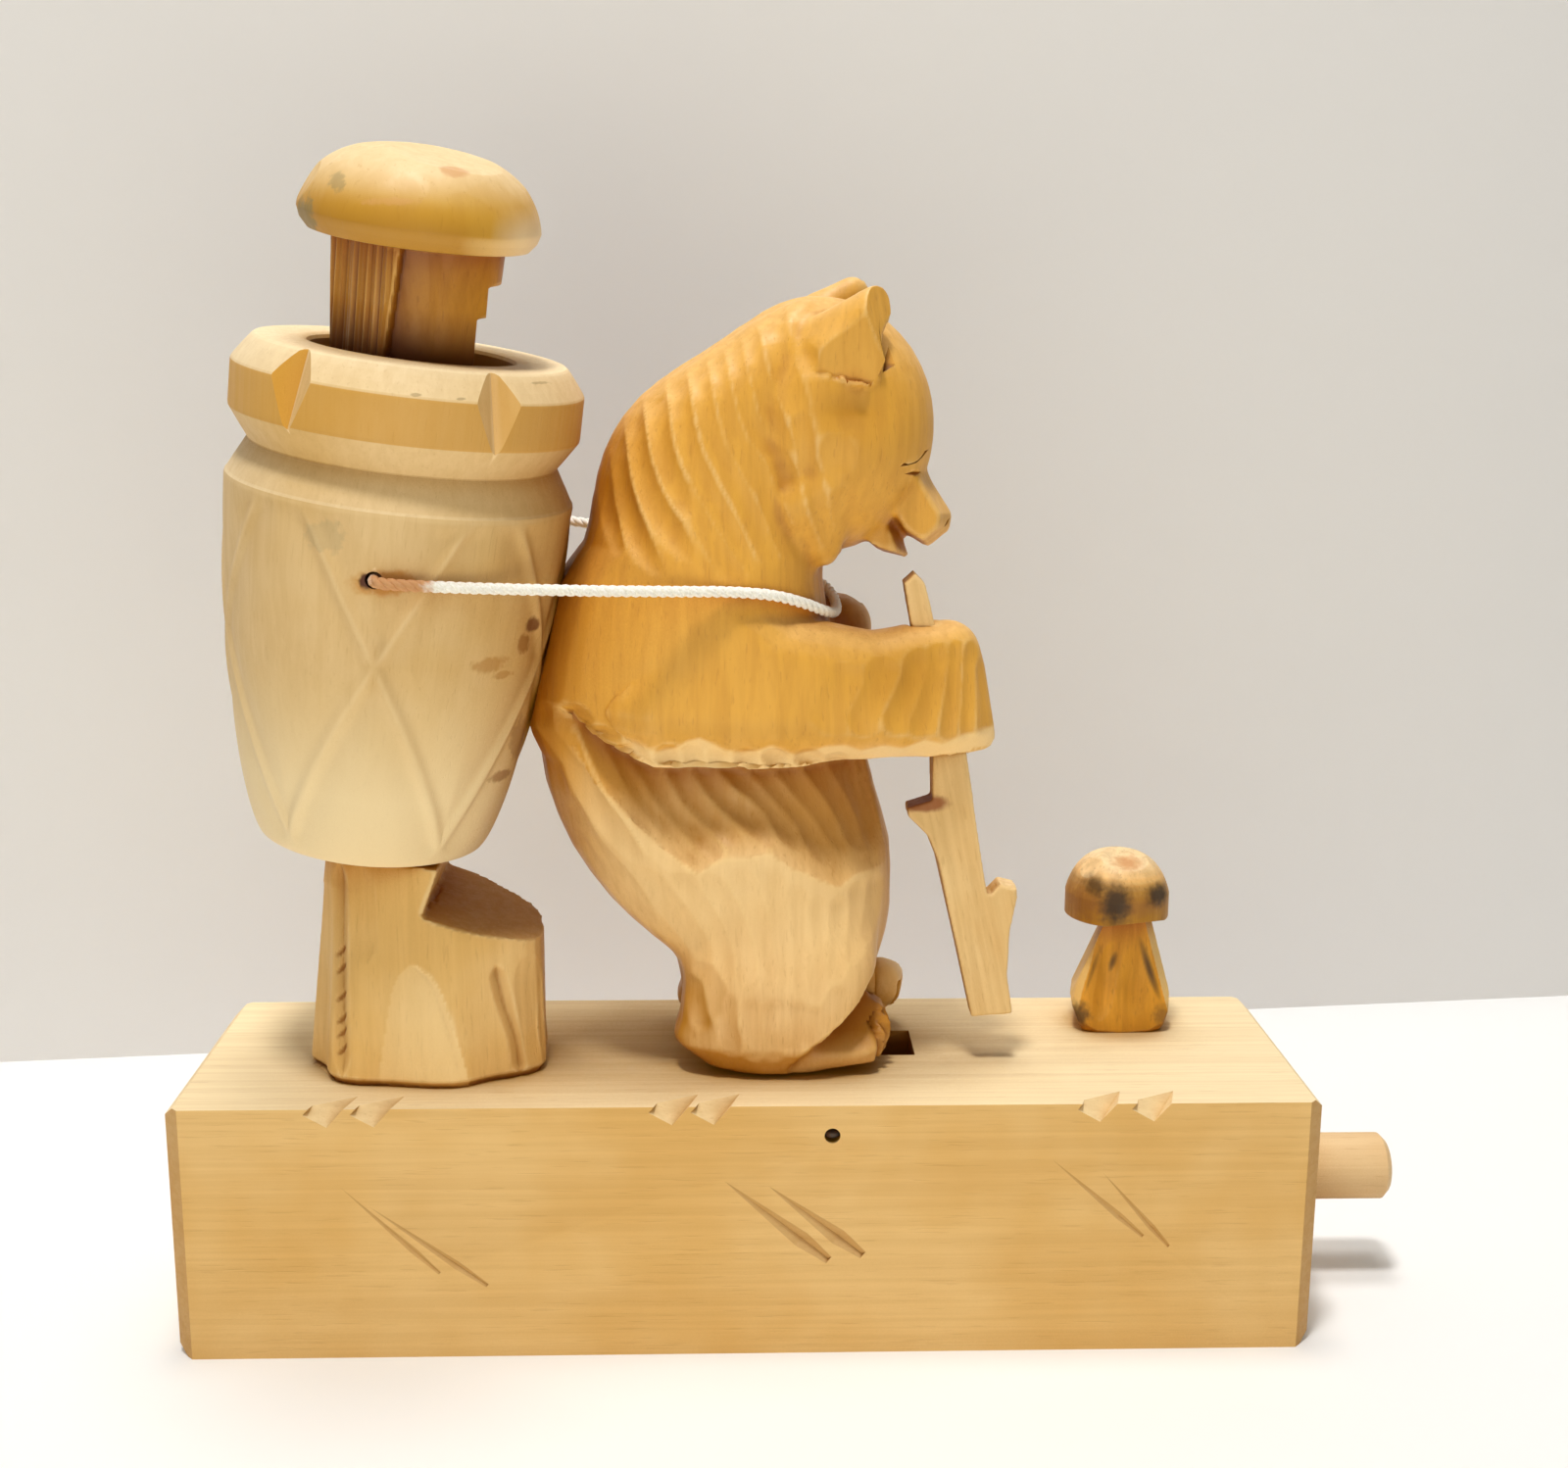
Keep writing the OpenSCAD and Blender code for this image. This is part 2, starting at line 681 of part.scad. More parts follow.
module back_dowel_bar(gap) {
    on_basket()
        translate([back_dowel_mid - back_dowel_l / 2 - gap, 0, back_dowel_h])
            rotate([0, 90, 0]) cylinder(h = back_dowel_l + 2 * gap, r = back_dowel_d / 2 + gap);
}

module back_dowel() {
    color("peru") back_dowel_bar(0);
}

module on_basket_mushroom() {
    on_basket() translate([0, 0, hole_floor + stem_lift]) rotate([stem_tip, 0, 0]) children();
}

module basket_mushroom_stem() {
    color("goldenrod")
        on_basket_mushroom() {
            difference() {
                cylinder(h = stem_h, r1 = stem_foot_r, r2 = stem_top_r);
                // The split face on the front left
                rotate([0, 0, stem_split_turn])
                    translate([stem_split_r, -stem_top_r, -eps])
                        cube([stem_top_r, 2 * stem_top_r, stem_h + 1]);
            }
            translate([0, 0, stem_h - 1]) cylinder(h = stem_tenon_l + 1, r = stem_tenon_r);
        }
}

module basket_mushroom_cap() {
    color("wheat")
        on_basket_mushroom()
            translate([0, 0, stem_h + glued])
                difference() {
                    cap_dome(cap_r, cap_h, cap_lip);
                    translate([0, 0, -1]) cylinder(h = stem_tenon_l + 1 + resting, r = stem_tenon_r + glued);
                }
}

// Round tube of constant thickness along a smooth route
module shoulder_cord() {
    path = smooth_rows(cord_path, 2);
    last = len(path) - 1;
    points = [for (i = [0:last], s = [0:cord_sides - 1])
        let (along = path[min(i + 1, last)] - path[max(i - 1, 0)],
             side = cross(along, [0, 0, 1]) / norm(cross(along, [0, 0, 1])),
             up = cross(side, along) / norm(cross(side, along)),
             a = 360 * s / cord_sides)
        path[i] + cord_d / 2 * (cos(a) * side + sin(a) * up)];
    color("white") on_bear() polyhedron(points, tube_faces(last + 1, cord_sides), convexity = 8);
}

base_block();
pivot_nail();
stop_nail();
push_button();
bear_lever();
bear_carving();
walking_stick();
basket();
back_dowel();
basket_mushroom_stem();
basket_mushroom_cap();
shoulder_cord();
stump();
stump_dowel();
ground_mushroom_stem();
ground_mushroom_cap();
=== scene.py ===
"""A carved wooden bear with a pack basket, bowing on a block when its button is pressed."""

import math

import bmesh
import bpy
import numpy as np
from mathutils import Matrix, Vector


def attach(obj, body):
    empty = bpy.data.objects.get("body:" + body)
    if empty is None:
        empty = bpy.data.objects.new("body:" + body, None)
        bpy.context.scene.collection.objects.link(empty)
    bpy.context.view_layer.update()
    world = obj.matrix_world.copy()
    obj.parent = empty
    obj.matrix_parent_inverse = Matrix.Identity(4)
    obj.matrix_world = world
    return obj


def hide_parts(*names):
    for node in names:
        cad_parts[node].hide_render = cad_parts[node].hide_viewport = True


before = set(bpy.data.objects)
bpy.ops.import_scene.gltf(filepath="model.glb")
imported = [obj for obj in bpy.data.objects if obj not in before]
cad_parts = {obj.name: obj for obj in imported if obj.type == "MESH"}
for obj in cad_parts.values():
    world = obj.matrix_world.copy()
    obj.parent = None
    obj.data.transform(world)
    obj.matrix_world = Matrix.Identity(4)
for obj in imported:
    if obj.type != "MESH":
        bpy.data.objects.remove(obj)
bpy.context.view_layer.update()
scene = bpy.context.scene
MM = 0.001
# Places of the bear's and the basket's own frames, in millimetres
BEAR = np.array([13.0, 2.5, 42.0])
BASKET_LEAN, BASKET_TIP = math.radians(7.5), math.radians(4.3)
BASKET_FRAME = (Matrix.Translation((-60.6, -0.5, 80.3)) @ Matrix.Rotation(BASKET_LEAN, 4, "Y")
                @ Matrix.Rotation(BASKET_TIP, 4, "X"))


def tone(red, green, blue):
    """A colour named by its 0 to 255 screen values, as the shader takes it."""
    share = np.array([red, green, blue]) / 255
    linear = np.where(share <= 0.04045, share / 12.92, ((share + 0.055) / 1.055) ** 2.4)
    return (*linear.tolist(), 1.0)


# Camera and lamps

SENSOR_WIDTH = 36


def set_camera(at, yaw, pitch, roll, lens):
    ahead = Vector((math.sin(yaw) * math.cos(pitch), math.cos(yaw) * math.cos(pitch), math.sin(pitch)))
    right = Vector((math.cos(yaw), -math.sin(yaw), 0))
    up = right.cross(ahead)
    turned = [right * math.cos(roll) + up * math.sin(roll), up * math.cos(roll) - right * math.sin(roll), -ahead]
    camera = bpy.data.objects.new("camera", bpy.data.cameras.new("camera"))
    camera.data.lens = lens
    camera.data.sensor_width = SENSOR_WIDTH
    camera.matrix_world = Matrix.Translation(Vector(at) * MM) @ Matrix(turned).transposed().to_4x4()
    scene.collection.objects.link(camera)
    scene.camera = camera


def add_lamp(name, at, aim, size, power, colour):
    lamp = bpy.data.lights.new(name, "AREA")
    lamp.shape = "DISK"
    lamp.size = size
    lamp.energy = power
    lamp.color = colour
    shown = bpy.data.objects.new(name, lamp)
    shown.location = at
    shown.rotation_euler = (Vector(aim) - Vector(at)).to_track_quat("-Z", "Y").to_euler()
    scene.collection.objects.link(shown)


# Node helpers


def feed(tree, node, **sockets):
    """Sets or links a node's inputs by name, or by place as i0, i1 and so on."""
    for key, value in sockets.items():
        by_place = key[0] == "i" and key[1:].isdigit()
        socket = node.inputs[int(key[1:]) if by_place else key.replace("_", " ")]
        if isinstance(value, bpy.types.NodeSocket):
            tree.links.new(value, socket)
        else:
            socket.default_value = value


def put(tree, kind, settings=None, **sockets):
    """A new node with its settings and inputs."""
    node = tree.nodes.new(kind)
    for key, value in (settings or {}).items():
        setattr(node, key, value)
    feed(tree, node, **sockets)
    return node


def use(tree, group, **sockets):
    return put(tree, "ShaderNodeGroup", {"node_tree": group}, **sockets).outputs


def calc(tree, operation, a, b=0.0, c=0.0):
    return put(tree, "ShaderNodeMath", {"operation": operation}, i0=a, i1=b, i2=c).outputs[0]


def vector_calc(tree, operation, a, b=(0, 0, 0), **sockets):
    return put(tree, "ShaderNodeVectorMath", {"operation": operation}, i0=a, i1=b, **sockets).outputs[0]


def noise(tree, place, scale, detail, **sockets):
    return put(tree, "ShaderNodeTexNoise", Vector=place, Scale=scale, Detail=detail, **sockets).outputs[0]


def stored(tree, name):
    """A value that the piece's mesh carries."""
    return put(tree, "ShaderNodeAttribute", {"attribute_name": name}).outputs["Fac"]


def bump(tree, height, strength, distance):
    return put(tree, "ShaderNodeBump", Strength=strength, Distance=distance, Height=height).outputs[0]


def seen_ray(tree):
    """One for what the camera or a reflection sees, zero for the light that falls on things."""
    rays = put(tree, "ShaderNodeLightPath").outputs
    return calc(tree, "MAXIMUM", rays["Is Camera Ray"], rays["Is Glossy Ray"])


def ramp(tree, value, low, high, start=0.0, end=1.0):
    """value from low to high, made a soft step from start to end."""
    return put(tree, "ShaderNodeMapRange", {"interpolation_type": "SMOOTHSTEP"}, Value=value, From_Min=low,
               From_Max=high, To_Min=start, To_Max=end).outputs[0]


def blend(tree, share, a, b, kind="MIX"):
    return put(tree, "ShaderNodeMix", {"data_type": "RGBA", "blend_type": kind}, i0=share, i6=a, i7=b).outputs[2]


def new_group(name, kind, inputs, outputs):
    """A node group with named sockets; returns it, its inputs by name and its output node."""
    tree = bpy.data.node_groups.new(name, kind)
    for way, sockets in (("INPUT", inputs), ("OUTPUT", outputs)):
        for label, socket in sockets.items():
            tree.interface.new_socket(name=label, in_out=way, socket_type="NodeSocket" + socket)
    given = tree.nodes.new("NodeGroupInput")
    return tree, {s.name: s for s in given.outputs if s.name}, tree.nodes.new("NodeGroupOutput")


# Shared effects of the wood

SPOT_GRIT = 900.0
SHELTER_LIFT = (0, 0, 0.65)
SHELTER_TONE = (0.5, 0.3, 0.02, 1)
PORE_RELIEF = 0.00004


def make_wood_figure():
    """Grain that runs along the vector's Z: long streaks, short dark pores and broad clouds."""
    tree, given, out = new_group(
        "wood_figure", "ShaderNodeTree", {"Vector": "Vector", "Along": "Float", "Across": "Float"},
        {"Streaks": "Float", "Pores": "Float", "Clouds": "Float"})
    stretch = put(tree, "ShaderNodeCombineXYZ", X=given["Across"], Y=given["Across"], Z=given["Along"]).outputs[0]
    laid = vector_calc(tree, "MULTIPLY", given["Vector"], stretch)
    streaks = noise(tree, laid, 0.5, 4.0, Roughness=0.62, Distortion=0.4)
    dashes = noise(tree, vector_calc(tree, "MULTIPLY", laid, (1.9, 1.9, 6.0)), 1.0, 1.0, Roughness=0.5)
    clouds = noise(tree, given["Vector"], 34.0, 3.0, Roughness=0.55)
    feed(tree, out, Streaks=ramp(tree, streaks, 0.32, 0.68), Pores=ramp(tree, dashes, 0.63, 0.74),
         Clouds=ramp(tree, clouds, 0.33, 0.67))
    return tree


def make_wear_and_hollow_shade():
    """Worn, paler ridges, and painted shade that darkens the hollows, from the carved shape's own edge value."""
    tree, given, out = new_group(
        "knife_wear", "ShaderNodeTree",
        {"Color": "Color", "Edge": "Float", "Worn Color": "Color", "Deep Color": "Color", "Worn": "Float",
         "Deep": "Float"}, {"Color": "Color"})
    ridge = calc(tree, "MULTIPLY", ramp(tree, given["Edge"], 0.12, 0.8), given["Worn"])
    # Painted shade: hollows darken towards the deep colour
    hollow = calc(tree, "MULTIPLY", ramp(tree, given["Edge"], -0.08, -0.7), given["Deep"])
    worn = blend(tree, ridge, given["Color"], given["Worn Color"])
    feed(tree, out, Color=blend(tree, hollow, worn, given["Deep Color"]))
    return tree


def make_spot():
    """A ragged oval mark at a place on the piece."""
    tree, given, out = new_group(
        "spot", "ShaderNodeTree",
        {"Vector": "Vector", "Centre": "Vector", "Size": "Vector", "Ragged": "Float", "Soft": "Float"}, {"Mask": "Float"})
    off = vector_calc(tree, "SUBTRACT", given["Vector"], given["Centre"])
    scaled = vector_calc(tree, "DIVIDE", off, given["Size"])
    reach = put(tree, "ShaderNodeVectorMath", {"operation": "LENGTH"}, i0=scaled).outputs["Value"]
    grit = noise(tree, given["Vector"], SPOT_GRIT, 3.0)
    rough = calc(tree, "MULTIPLY_ADD", calc(tree, "SUBTRACT", grit, 0.5), given["Ragged"], reach)
    inner = calc(tree, "SUBTRACT", 1.0, given["Soft"])
    outer = calc(tree, "ADD", 0.8, calc(tree, "MULTIPLY", given["Soft"], 0.4))
    feed(tree, out, Mask=ramp(tree, rough, outer, inner))
    return tree


def make_shelter():
    """Warm shade where other surfaces stand close above."""
    tree, given, out = new_group("shelter", "ShaderNodeTree", {"Color": "Color", "Reach": "Float"}, {"Color": "Color"})
    side = put(tree, "ShaderNodeNewGeometry").outputs["Normal"]
    lifted = vector_calc(tree, "NORMALIZE", vector_calc(tree, "ADD", side, SHELTER_LIFT))
    clear = put(tree, "ShaderNodeAmbientOcclusion", {"samples": 4}, Distance=given["Reach"],
                Normal=lifted).outputs["AO"]
    feed(tree, out, Color=blend(tree, ramp(tree, clear, 0.84, 0.28), given["Color"], SHELTER_TONE, "MULTIPLY"))
    return tree


WOOD_FIGURE = make_wood_figure()
WEAR_AND_HOLLOW_SHADE = make_wear_and_hollow_shade()
SPOT = make_spot()
SHELTER = make_shelter()


def new_material(name):
    material = bpy.data.materials.new(name)
    material.use_nodes = True
    tree = material.node_tree
    tree.nodes.clear()
    shader = tree.nodes.new("ShaderNodeBsdfPrincipled")
    put(tree, "ShaderNodeOutputMaterial", Surface=shader.outputs[0])
    return material, tree, shader


def wood(name, pale, mid, dark, *, along, across, pore, streak, rough, worn, deep=0.5, coat=0.0, turn=(0, 0, 0),
         worn_tone=None, deep_tone=None, rise=None, upper=None, tints=None, spots=(), soft=0.45, reach=0.026):
    """Wood of three tones with grain, pores, worn edges and marks, and painted shade in hollows and under close
    surfaces; tones are named by their screen values.

    rise is a tone that comes in between two heights, upper a tone and share painted as light on the faces that look up,
    tints the tones that the piece's own tint value lifts or shades it to, on several pieces painted light and shade."""
    material, tree, shader = new_material(name)
    place = put(tree, "ShaderNodeTexCoord").outputs["Object"]
    laid = put(tree, "ShaderNodeMapping", Vector=place, Rotation=turn).outputs[0]
    streaks, pores, clouds = use(tree, WOOD_FIGURE, Vector=laid, Along=along, Across=across).values()
    colour = blend(tree, clouds, tone(*pale), tone(*mid))
    if rise:
        low, high, other = rise
        height = put(tree, "ShaderNodeSeparateXYZ", Vector=place).outputs["Z"]
        lifted = calc(tree, "MULTIPLY_ADD", clouds, 0.012, height)
        colour = blend(tree, ramp(tree, lifted, low, high), colour, tone(*other))
    # Painted light: faces that look up are paled towards the upper tone
    if upper:
        painted_top_light = ramp(tree, stored(tree, "upper"), 0.15, 0.95, 0.0, upper[1])
        colour = blend(tree, painted_top_light, colour, tone(*upper[0]))
    for part, share in ((streaks, streak), (pores, pore)):
        colour = blend(tree, calc(tree, "MULTIPLY", part, share), colour, tone(*dark))
    colour = use(tree, WEAR_AND_HOLLOW_SHADE, Color=colour, Edge=stored(tree, "edge"), Worn=worn, Deep=deep,
                 Worn_Color=tone(*(worn_tone or pale)), Deep_Color=tone(*(deep_tone or dark)))[0]
    for way, shade in zip((1.0, -1.0), tints or ()):
        share = calc(tree, "MAXIMUM", calc(tree, "MULTIPLY", stored(tree, "tint"), way), 0.0)
        colour = blend(tree, share, colour, tone(*shade))
    for centre, size, shade, strength, ragged in spots:
        mask = use(tree, SPOT, Vector=place, Centre=[c * MM for c in centre], Size=[s * MM for s in size],
                   Ragged=ragged, Soft=soft)[0]
        colour = blend(tree, calc(tree, "MULTIPLY", mask, strength), colour, tone(*shade))
    colour = use(tree, SHELTER, Color=colour, Reach=reach)[0]
    height = calc(tree, "MULTIPLY_ADD", pores, -1.0, calc(tree, "MULTIPLY", streaks, 0.6))
    feed(tree, shader, Base_Color=colour, Roughness=ramp(tree, streaks, 0.0, 1.0, rough - 0.06, rough + 0.08),
         Normal=bump(tree, height, 0.5, PORE_RELIEF), Coat_Weight=coat, Coat_Roughness=0.35, Specular_IOR_Level=0.3)
    return material


# Mesh helpers


def new_piece(name, mesh):
    piece = bpy.data.objects.new(name, mesh)
    scene.collection.objects.link(piece)
    return piece


def from_faces(name, points, faces):
    """A piece from points in millimetres."""
    mesh = bpy.data.meshes.new(name)
    mesh.from_pydata((np.asarray(points, float) * MM).tolist(), [], faces)
    mesh.update()
    return new_piece(name, mesh)


def node_copy(node, name):
    """A merged copy of a solid's mesh."""
    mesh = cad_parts[node].data.copy()
    mesh.name = name
    mesh.materials.clear()
    work = bmesh.new()
    work.from_mesh(mesh)
    bmesh.ops.remove_doubles(work, verts=work.verts, dist=1e-6)
    work.to_mesh(mesh)
    work.free()
    return new_piece(name, mesh)


def take_mesh(piece):
    """The plain mesh that a piece's modifiers make; the modifiers go."""
    seen = bpy.context.evaluated_depsgraph_get()
    made = bpy.data.meshes.new_from_object(piece.evaluated_get(seen), depsgraph=seen)
    piece.modifiers.clear()
    return made


def modify(piece, kind, **settings):
    made = piece.modifiers.new(kind.lower(), kind)
    for key, value in settings.items():
        setattr(made, key, value)
    return made


def remesh(piece, size):
    modify(piece, "REMESH", mode="VOXEL", voxel_size=size * MM)
    piece.data = take_mesh(piece)


def soft_edges(piece, width, segments):
    modify(piece, "BEVEL", width=width * MM, segments=segments, limit_method="ANGLE", angle_limit=math.radians(30))
    piece.data = take_mesh(piece)


def cut_out(piece, *cutters):
    for cutter in cutters:
        modify(piece, "BOOLEAN", operation="DIFFERENCE", solver="EXACT", object=cutter)
    piece.data = take_mesh(piece)
    for cutter in cutters:
        bpy.data.objects.remove(cutter)


def points_of(piece):
    flat = np.zeros(len(piece.data.vertices) * 3)
    piece.data.vertices.foreach_get("co", flat)
    return flat.reshape(-1, 3) / MM


def place_points(piece, points):
    piece.data.vertices.foreach_set("co", (points * MM).ravel())
    piece.data.update()


def outward(piece):
    flat = np.zeros(len(piece.data.vertices) * 3)
    piece.data.vertex_normals.foreach_get("vector", flat)
    return flat.reshape(-1, 3)


def links_of(piece):
    pairs = np.zeros(len(piece.data.edges) * 2, int)
    piece.data.edges.foreach_get("vertices", pairs)
    return pairs.reshape(-1, 2)


def neighbour_mean(values, pairs):
    count = np.maximum(np.bincount(pairs.ravel(), minlength=len(values)), 1)
    total = [np.bincount(pairs[:, 0], values[pairs[:, 1], k], len(values))
             + np.bincount(pairs[:, 1], values[pairs[:, 0], k], len(values)) for k in range(values.shape[1])]
    return np.stack(total, 1) / count[:, None]


def soften(points, pairs, rounds):
    """Evens out a mesh without shrinking it."""
    for _ in range(rounds):
        for step in (0.5, -0.52):
            points = points + step * (neighbour_mean(points, pairs) - points)
    return points


def even_out(piece, size, rounds=1):
    """Remeshes a piece, evens it out and returns its points."""
    remesh(piece, size)
    points = soften(points_of(piece), links_of(piece), rounds)
    place_points(piece, points)
    return points


def store(piece, name, domain, values):
    layer = piece.data.attributes.new(name, "FLOAT", domain)
    layer.data.foreach_set("value", np.asarray(values, np.float32))


def mark_edges(piece):
    """Stores how sharply the surface bends, ridges above zero and hollows below, for the wear on ridges and the painted
    shade in hollows.
    """
    points, pairs = points_of(piece), links_of(piece)
    reach = np.linalg.norm(points[pairs[:, 0]] - points[pairs[:, 1]], axis=1).mean()
    bend = ((points - neighbour_mean(points, pairs)) * outward(piece)).sum(1, keepdims=True) / reach
    for _ in range(2):
        bend = 0.5 * bend + 0.5 * neighbour_mean(bend, pairs)
    store(piece, "edge", "POINT", np.clip(bend[:, 0] * 6, -1, 1))


def mark_strips(piece, cut):
    """Stores the faces along the edges of a coarse piece's box as worn, and those inside the box as cut, less near the
    top; a negative cut darkens the cut faces with painted shade."""
    points = points_of(piece)
    low, high = points.min(0), points.max(0)
    value = []
    for face in piece.data.polygons:
        middle = np.array(face.center) / MM
        off = np.minimum(middle - low, high - middle)
        if (off < 0.8).sum() > 1:
            value.append(0.7)
        elif off.min() > 0.05:
            value.append(cut * (0.25 if off[2] < 8 else 1))
        else:
            value.append(0.0)
    store(piece, "edge", "FACE", value)


def mark_upper(piece):
    """Stores how far each face looks up, for the painted light that pales tops."""
    flat = np.zeros(len(piece.data.polygons) * 3)
    piece.data.polygons.foreach_get("normal", flat)
    store(piece, "upper", "FACE", np.clip(flat[2::3], 0, 1))


def gouge(points, normals, strokes):
    """Depth that round gouge strokes take off: each has a middle, a run, an outward side, a length, a width and a
    depth."""
    taken = np.zeros(len(points))
    for middle, run, out, length, width, deep in strokes:
        near = np.flatnonzero(np.abs(points - middle).max(1) < length / 2 + 1)
        if not len(near):
            continue
        off = points[near] - middle
        along = off @ run / (length / 2)
        aside = off @ np.cross(out, run) / (width / 2)
        cut = deep * (1 - aside ** 2) * np.sqrt(np.clip(1 - along ** 2, 0, 1))
        cut[(np.abs(along) > 1) | (np.abs(aside) > 1) | (normals[near] @ out < 0.35)] = 0
        taken[near] = np.maximum(taken[near], cut)
    return taken


def line_cuts(flat, lines, widen=1.0, deepen=1.0, run_out=0.3, keen=False, lead=0.0):
    """Depth of gouge strokes along lines drawn in one view, running out at their ends; each has a width, a depth and
    its points. A keen stroke is cut to a V, any other is round; a lead draws the start back and leaves it open."""
    taken = np.zeros(len(flat))
    for width, deep, *line in lines:
        width = width * widen
        line = smooth_route(np.array(line, float), 3)
        line[0] -= lead * unit(line[1] - line[0])
        reach = np.concatenate([[0], np.cumsum(np.linalg.norm(np.diff(line, axis=0), axis=1))])
        near = np.flatnonzero(((flat > line.min(0) - width) & (flat < line.max(0) + width)).all(1))
        here = flat[near]
        gap = np.full(len(near), width)
        share = np.zeros(len(near))
        for a, b, begin, length in zip(line, line[1:], reach, np.diff(reach)):
            part = np.clip((here - a) @ (b - a) / length ** 2, 0, 1)
            off = np.linalg.norm(here - a - part[:, None] * (b - a), axis=1)
            share = np.where(off < gap, (begin + part * length) / reach[-1], share)
            gap = np.minimum(gap, off)
        left = np.clip((1 - share if lead else np.minimum(share, 1 - share)) / run_out, 0, 1)
        aside = 2 * gap / width
        cut = left * (2 - left) - (aside if keen else aside ** 2)
        short = min(1, reach[-1] / (2.2 * width))
        taken[near] = np.maximum(taken[near], deepen * deep * short * np.clip(cut, 0, None))
    return taken


def plane_cut(points, at, out):
    """Points that stand over a plane, laid back on it."""
    over = np.maximum((points - np.asarray(at, float)) @ unit(out), 0)
    return points - over[:, None] * unit(out)


def flatten(points, planes):
    for at, out in planes:
        points = plane_cut(points, at, out)
    return points


def fade(value, start, end):
    return np.clip((value - start) / (end - start), 0, 1)


def smooth_route(points, steps):
    """A smooth curve through the points."""
    padded = np.vstack([points[0], points, points[-1]])
    made = []
    for a, b, c, d in zip(padded, padded[1:], padded[2:], padded[3:]):
        for u in np.arange(steps) / steps:
            bend, twist = 2 * a - 5 * b + 4 * c - d, 3 * b - a - 3 * c + d
            made.append(0.5 * (2 * b + (c - a) * u + bend * u ** 2 + twist * u ** 3))
    return np.array(made + [points[-1]])


def unit(vector):
    return np.asarray(vector, float) / np.linalg.norm(vector)


def lathe(name, rows, sides):
    """A turned piece about Z from rows of radius and height; a zero radius closes an end."""
    angles = np.arange(sides) * 2 * math.pi / sides
    points, rings = [], []
    for radius, height in rows:
        start = len(points)
        if radius == 0:
            points.append((0, 0, height))
            rings.append([start] * sides)
        else:
            points += [(radius * math.cos(a), radius * math.sin(a), height) for a in angles]
            rings.append(list(range(start, start + sides)))
    faces = []
    for low, high in zip(rings, rings[1:]):
        for i in range(sides):
            j = (i + 1) % sides
            face = [low[i], low[j], high[j], high[i]]
            faces.append([v for k, v in enumerate(face) if v not in face[:k]])
    return from_faces(name, points, faces)


def groove(start, end, out, width, depth, widest=0.5, blunt=0.0):
    """Points and faces of a knife groove's cutter: widest and deepest at a share of its run, and it may end blunt."""
    start, end, out = np.asarray(start, float), np.asarray(end, float), unit(out)
    side = np.cross(out, unit(end - start))
    lift = 0.4 * depth * out
    points = [start + lift * 0.2]
    for share, size in ((widest, 1.0), (1.0, max(blunt, 0.02))):
        middle = start + share * (end - start)
        half = side * width * 0.7 * size
        points += [middle + half + lift, middle - half + lift, middle - out * depth * size]
    return points, [(0, 2, 1), (0, 3, 2), (0, 1, 3), (2, 5, 4, 1), (3, 6, 5, 2), (1, 4, 6, 3), (5, 6, 4)]


def groove_cutter(name, grooves):
    """One cutter of grooves that do not meet; each is its points and faces."""
    points, faces = [], []
    for own, sides in grooves:
        faces += [[k + len(points) for k in side] for side in sides]
        points += list(own)
    return from_faces(name, points, faces)


def finish_piece(piece, body, slot, material, *nodes, crease=35, coarse=False, cut=0.0, tint=None):
    piece.data.materials.clear()
    piece.data.materials.append(material)
    piece.data.shade_smooth()
    piece.data.set_sharp_from_angle(angle=math.radians(crease))
    if coarse:
        mark_strips(piece, cut)
    else:
        mark_edges(piece)
    mark_upper(piece)
    if tint is not None:
        domain = "POINT" if len(tint) == len(piece.data.vertices) else "FACE"
        store(piece, "tint", domain, np.clip(tint, -1, 1))
    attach(piece, body)
    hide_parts(*nodes)


def to_frame(piece, matrix):
    """Moves a piece made in millimetres about its own origin to its place."""
    placed = Matrix.Diagonal((MM, MM, MM, 1)) @ matrix @ Matrix.Diagonal((1 / MM, 1 / MM, 1 / MM, 1))
    piece.data.transform(placed)
    piece.data.update()


# Materials of the pieces

# The upper tones below are painted light on faces that look up, and the deep tones the painted shade of hollows; the
# tints of the bear, basket, stump and basket mushroom are mostly painted light and shade
BLOCK_WOOD = wood(
    "block_wood", (236, 196, 130), (226, 180, 106), (180, 128, 62), turn=(0, math.pi / 2, 0), along=24,
    across=1500, pore=0.16, streak=0.16, rough=0.62, worn=0.6, worn_tone=(248, 222, 172), upper=((249, 230, 188), 0.9),
    reach=0.036, spots=[((22.0, 2.5, 34.6), (16, 6, 7.2), (120, 70, 26), 0.9, 0.2)])
BEAR_WOOD = wood(
    "bear_wood", (242, 202, 144), (230, 182, 114), (184, 124, 50), along=50, across=1200, pore=0.26, streak=0.26,
    rough=0.5, coat=0.08, worn=0.45, deep=0.45, worn_tone=(250, 214, 146), deep_tone=(172, 106, 22),
    rise=(0.092, 0.108, (228, 169, 66)), upper=((246, 206, 138), 0.5), tints=((252, 218, 158), (184, 124, 14)))
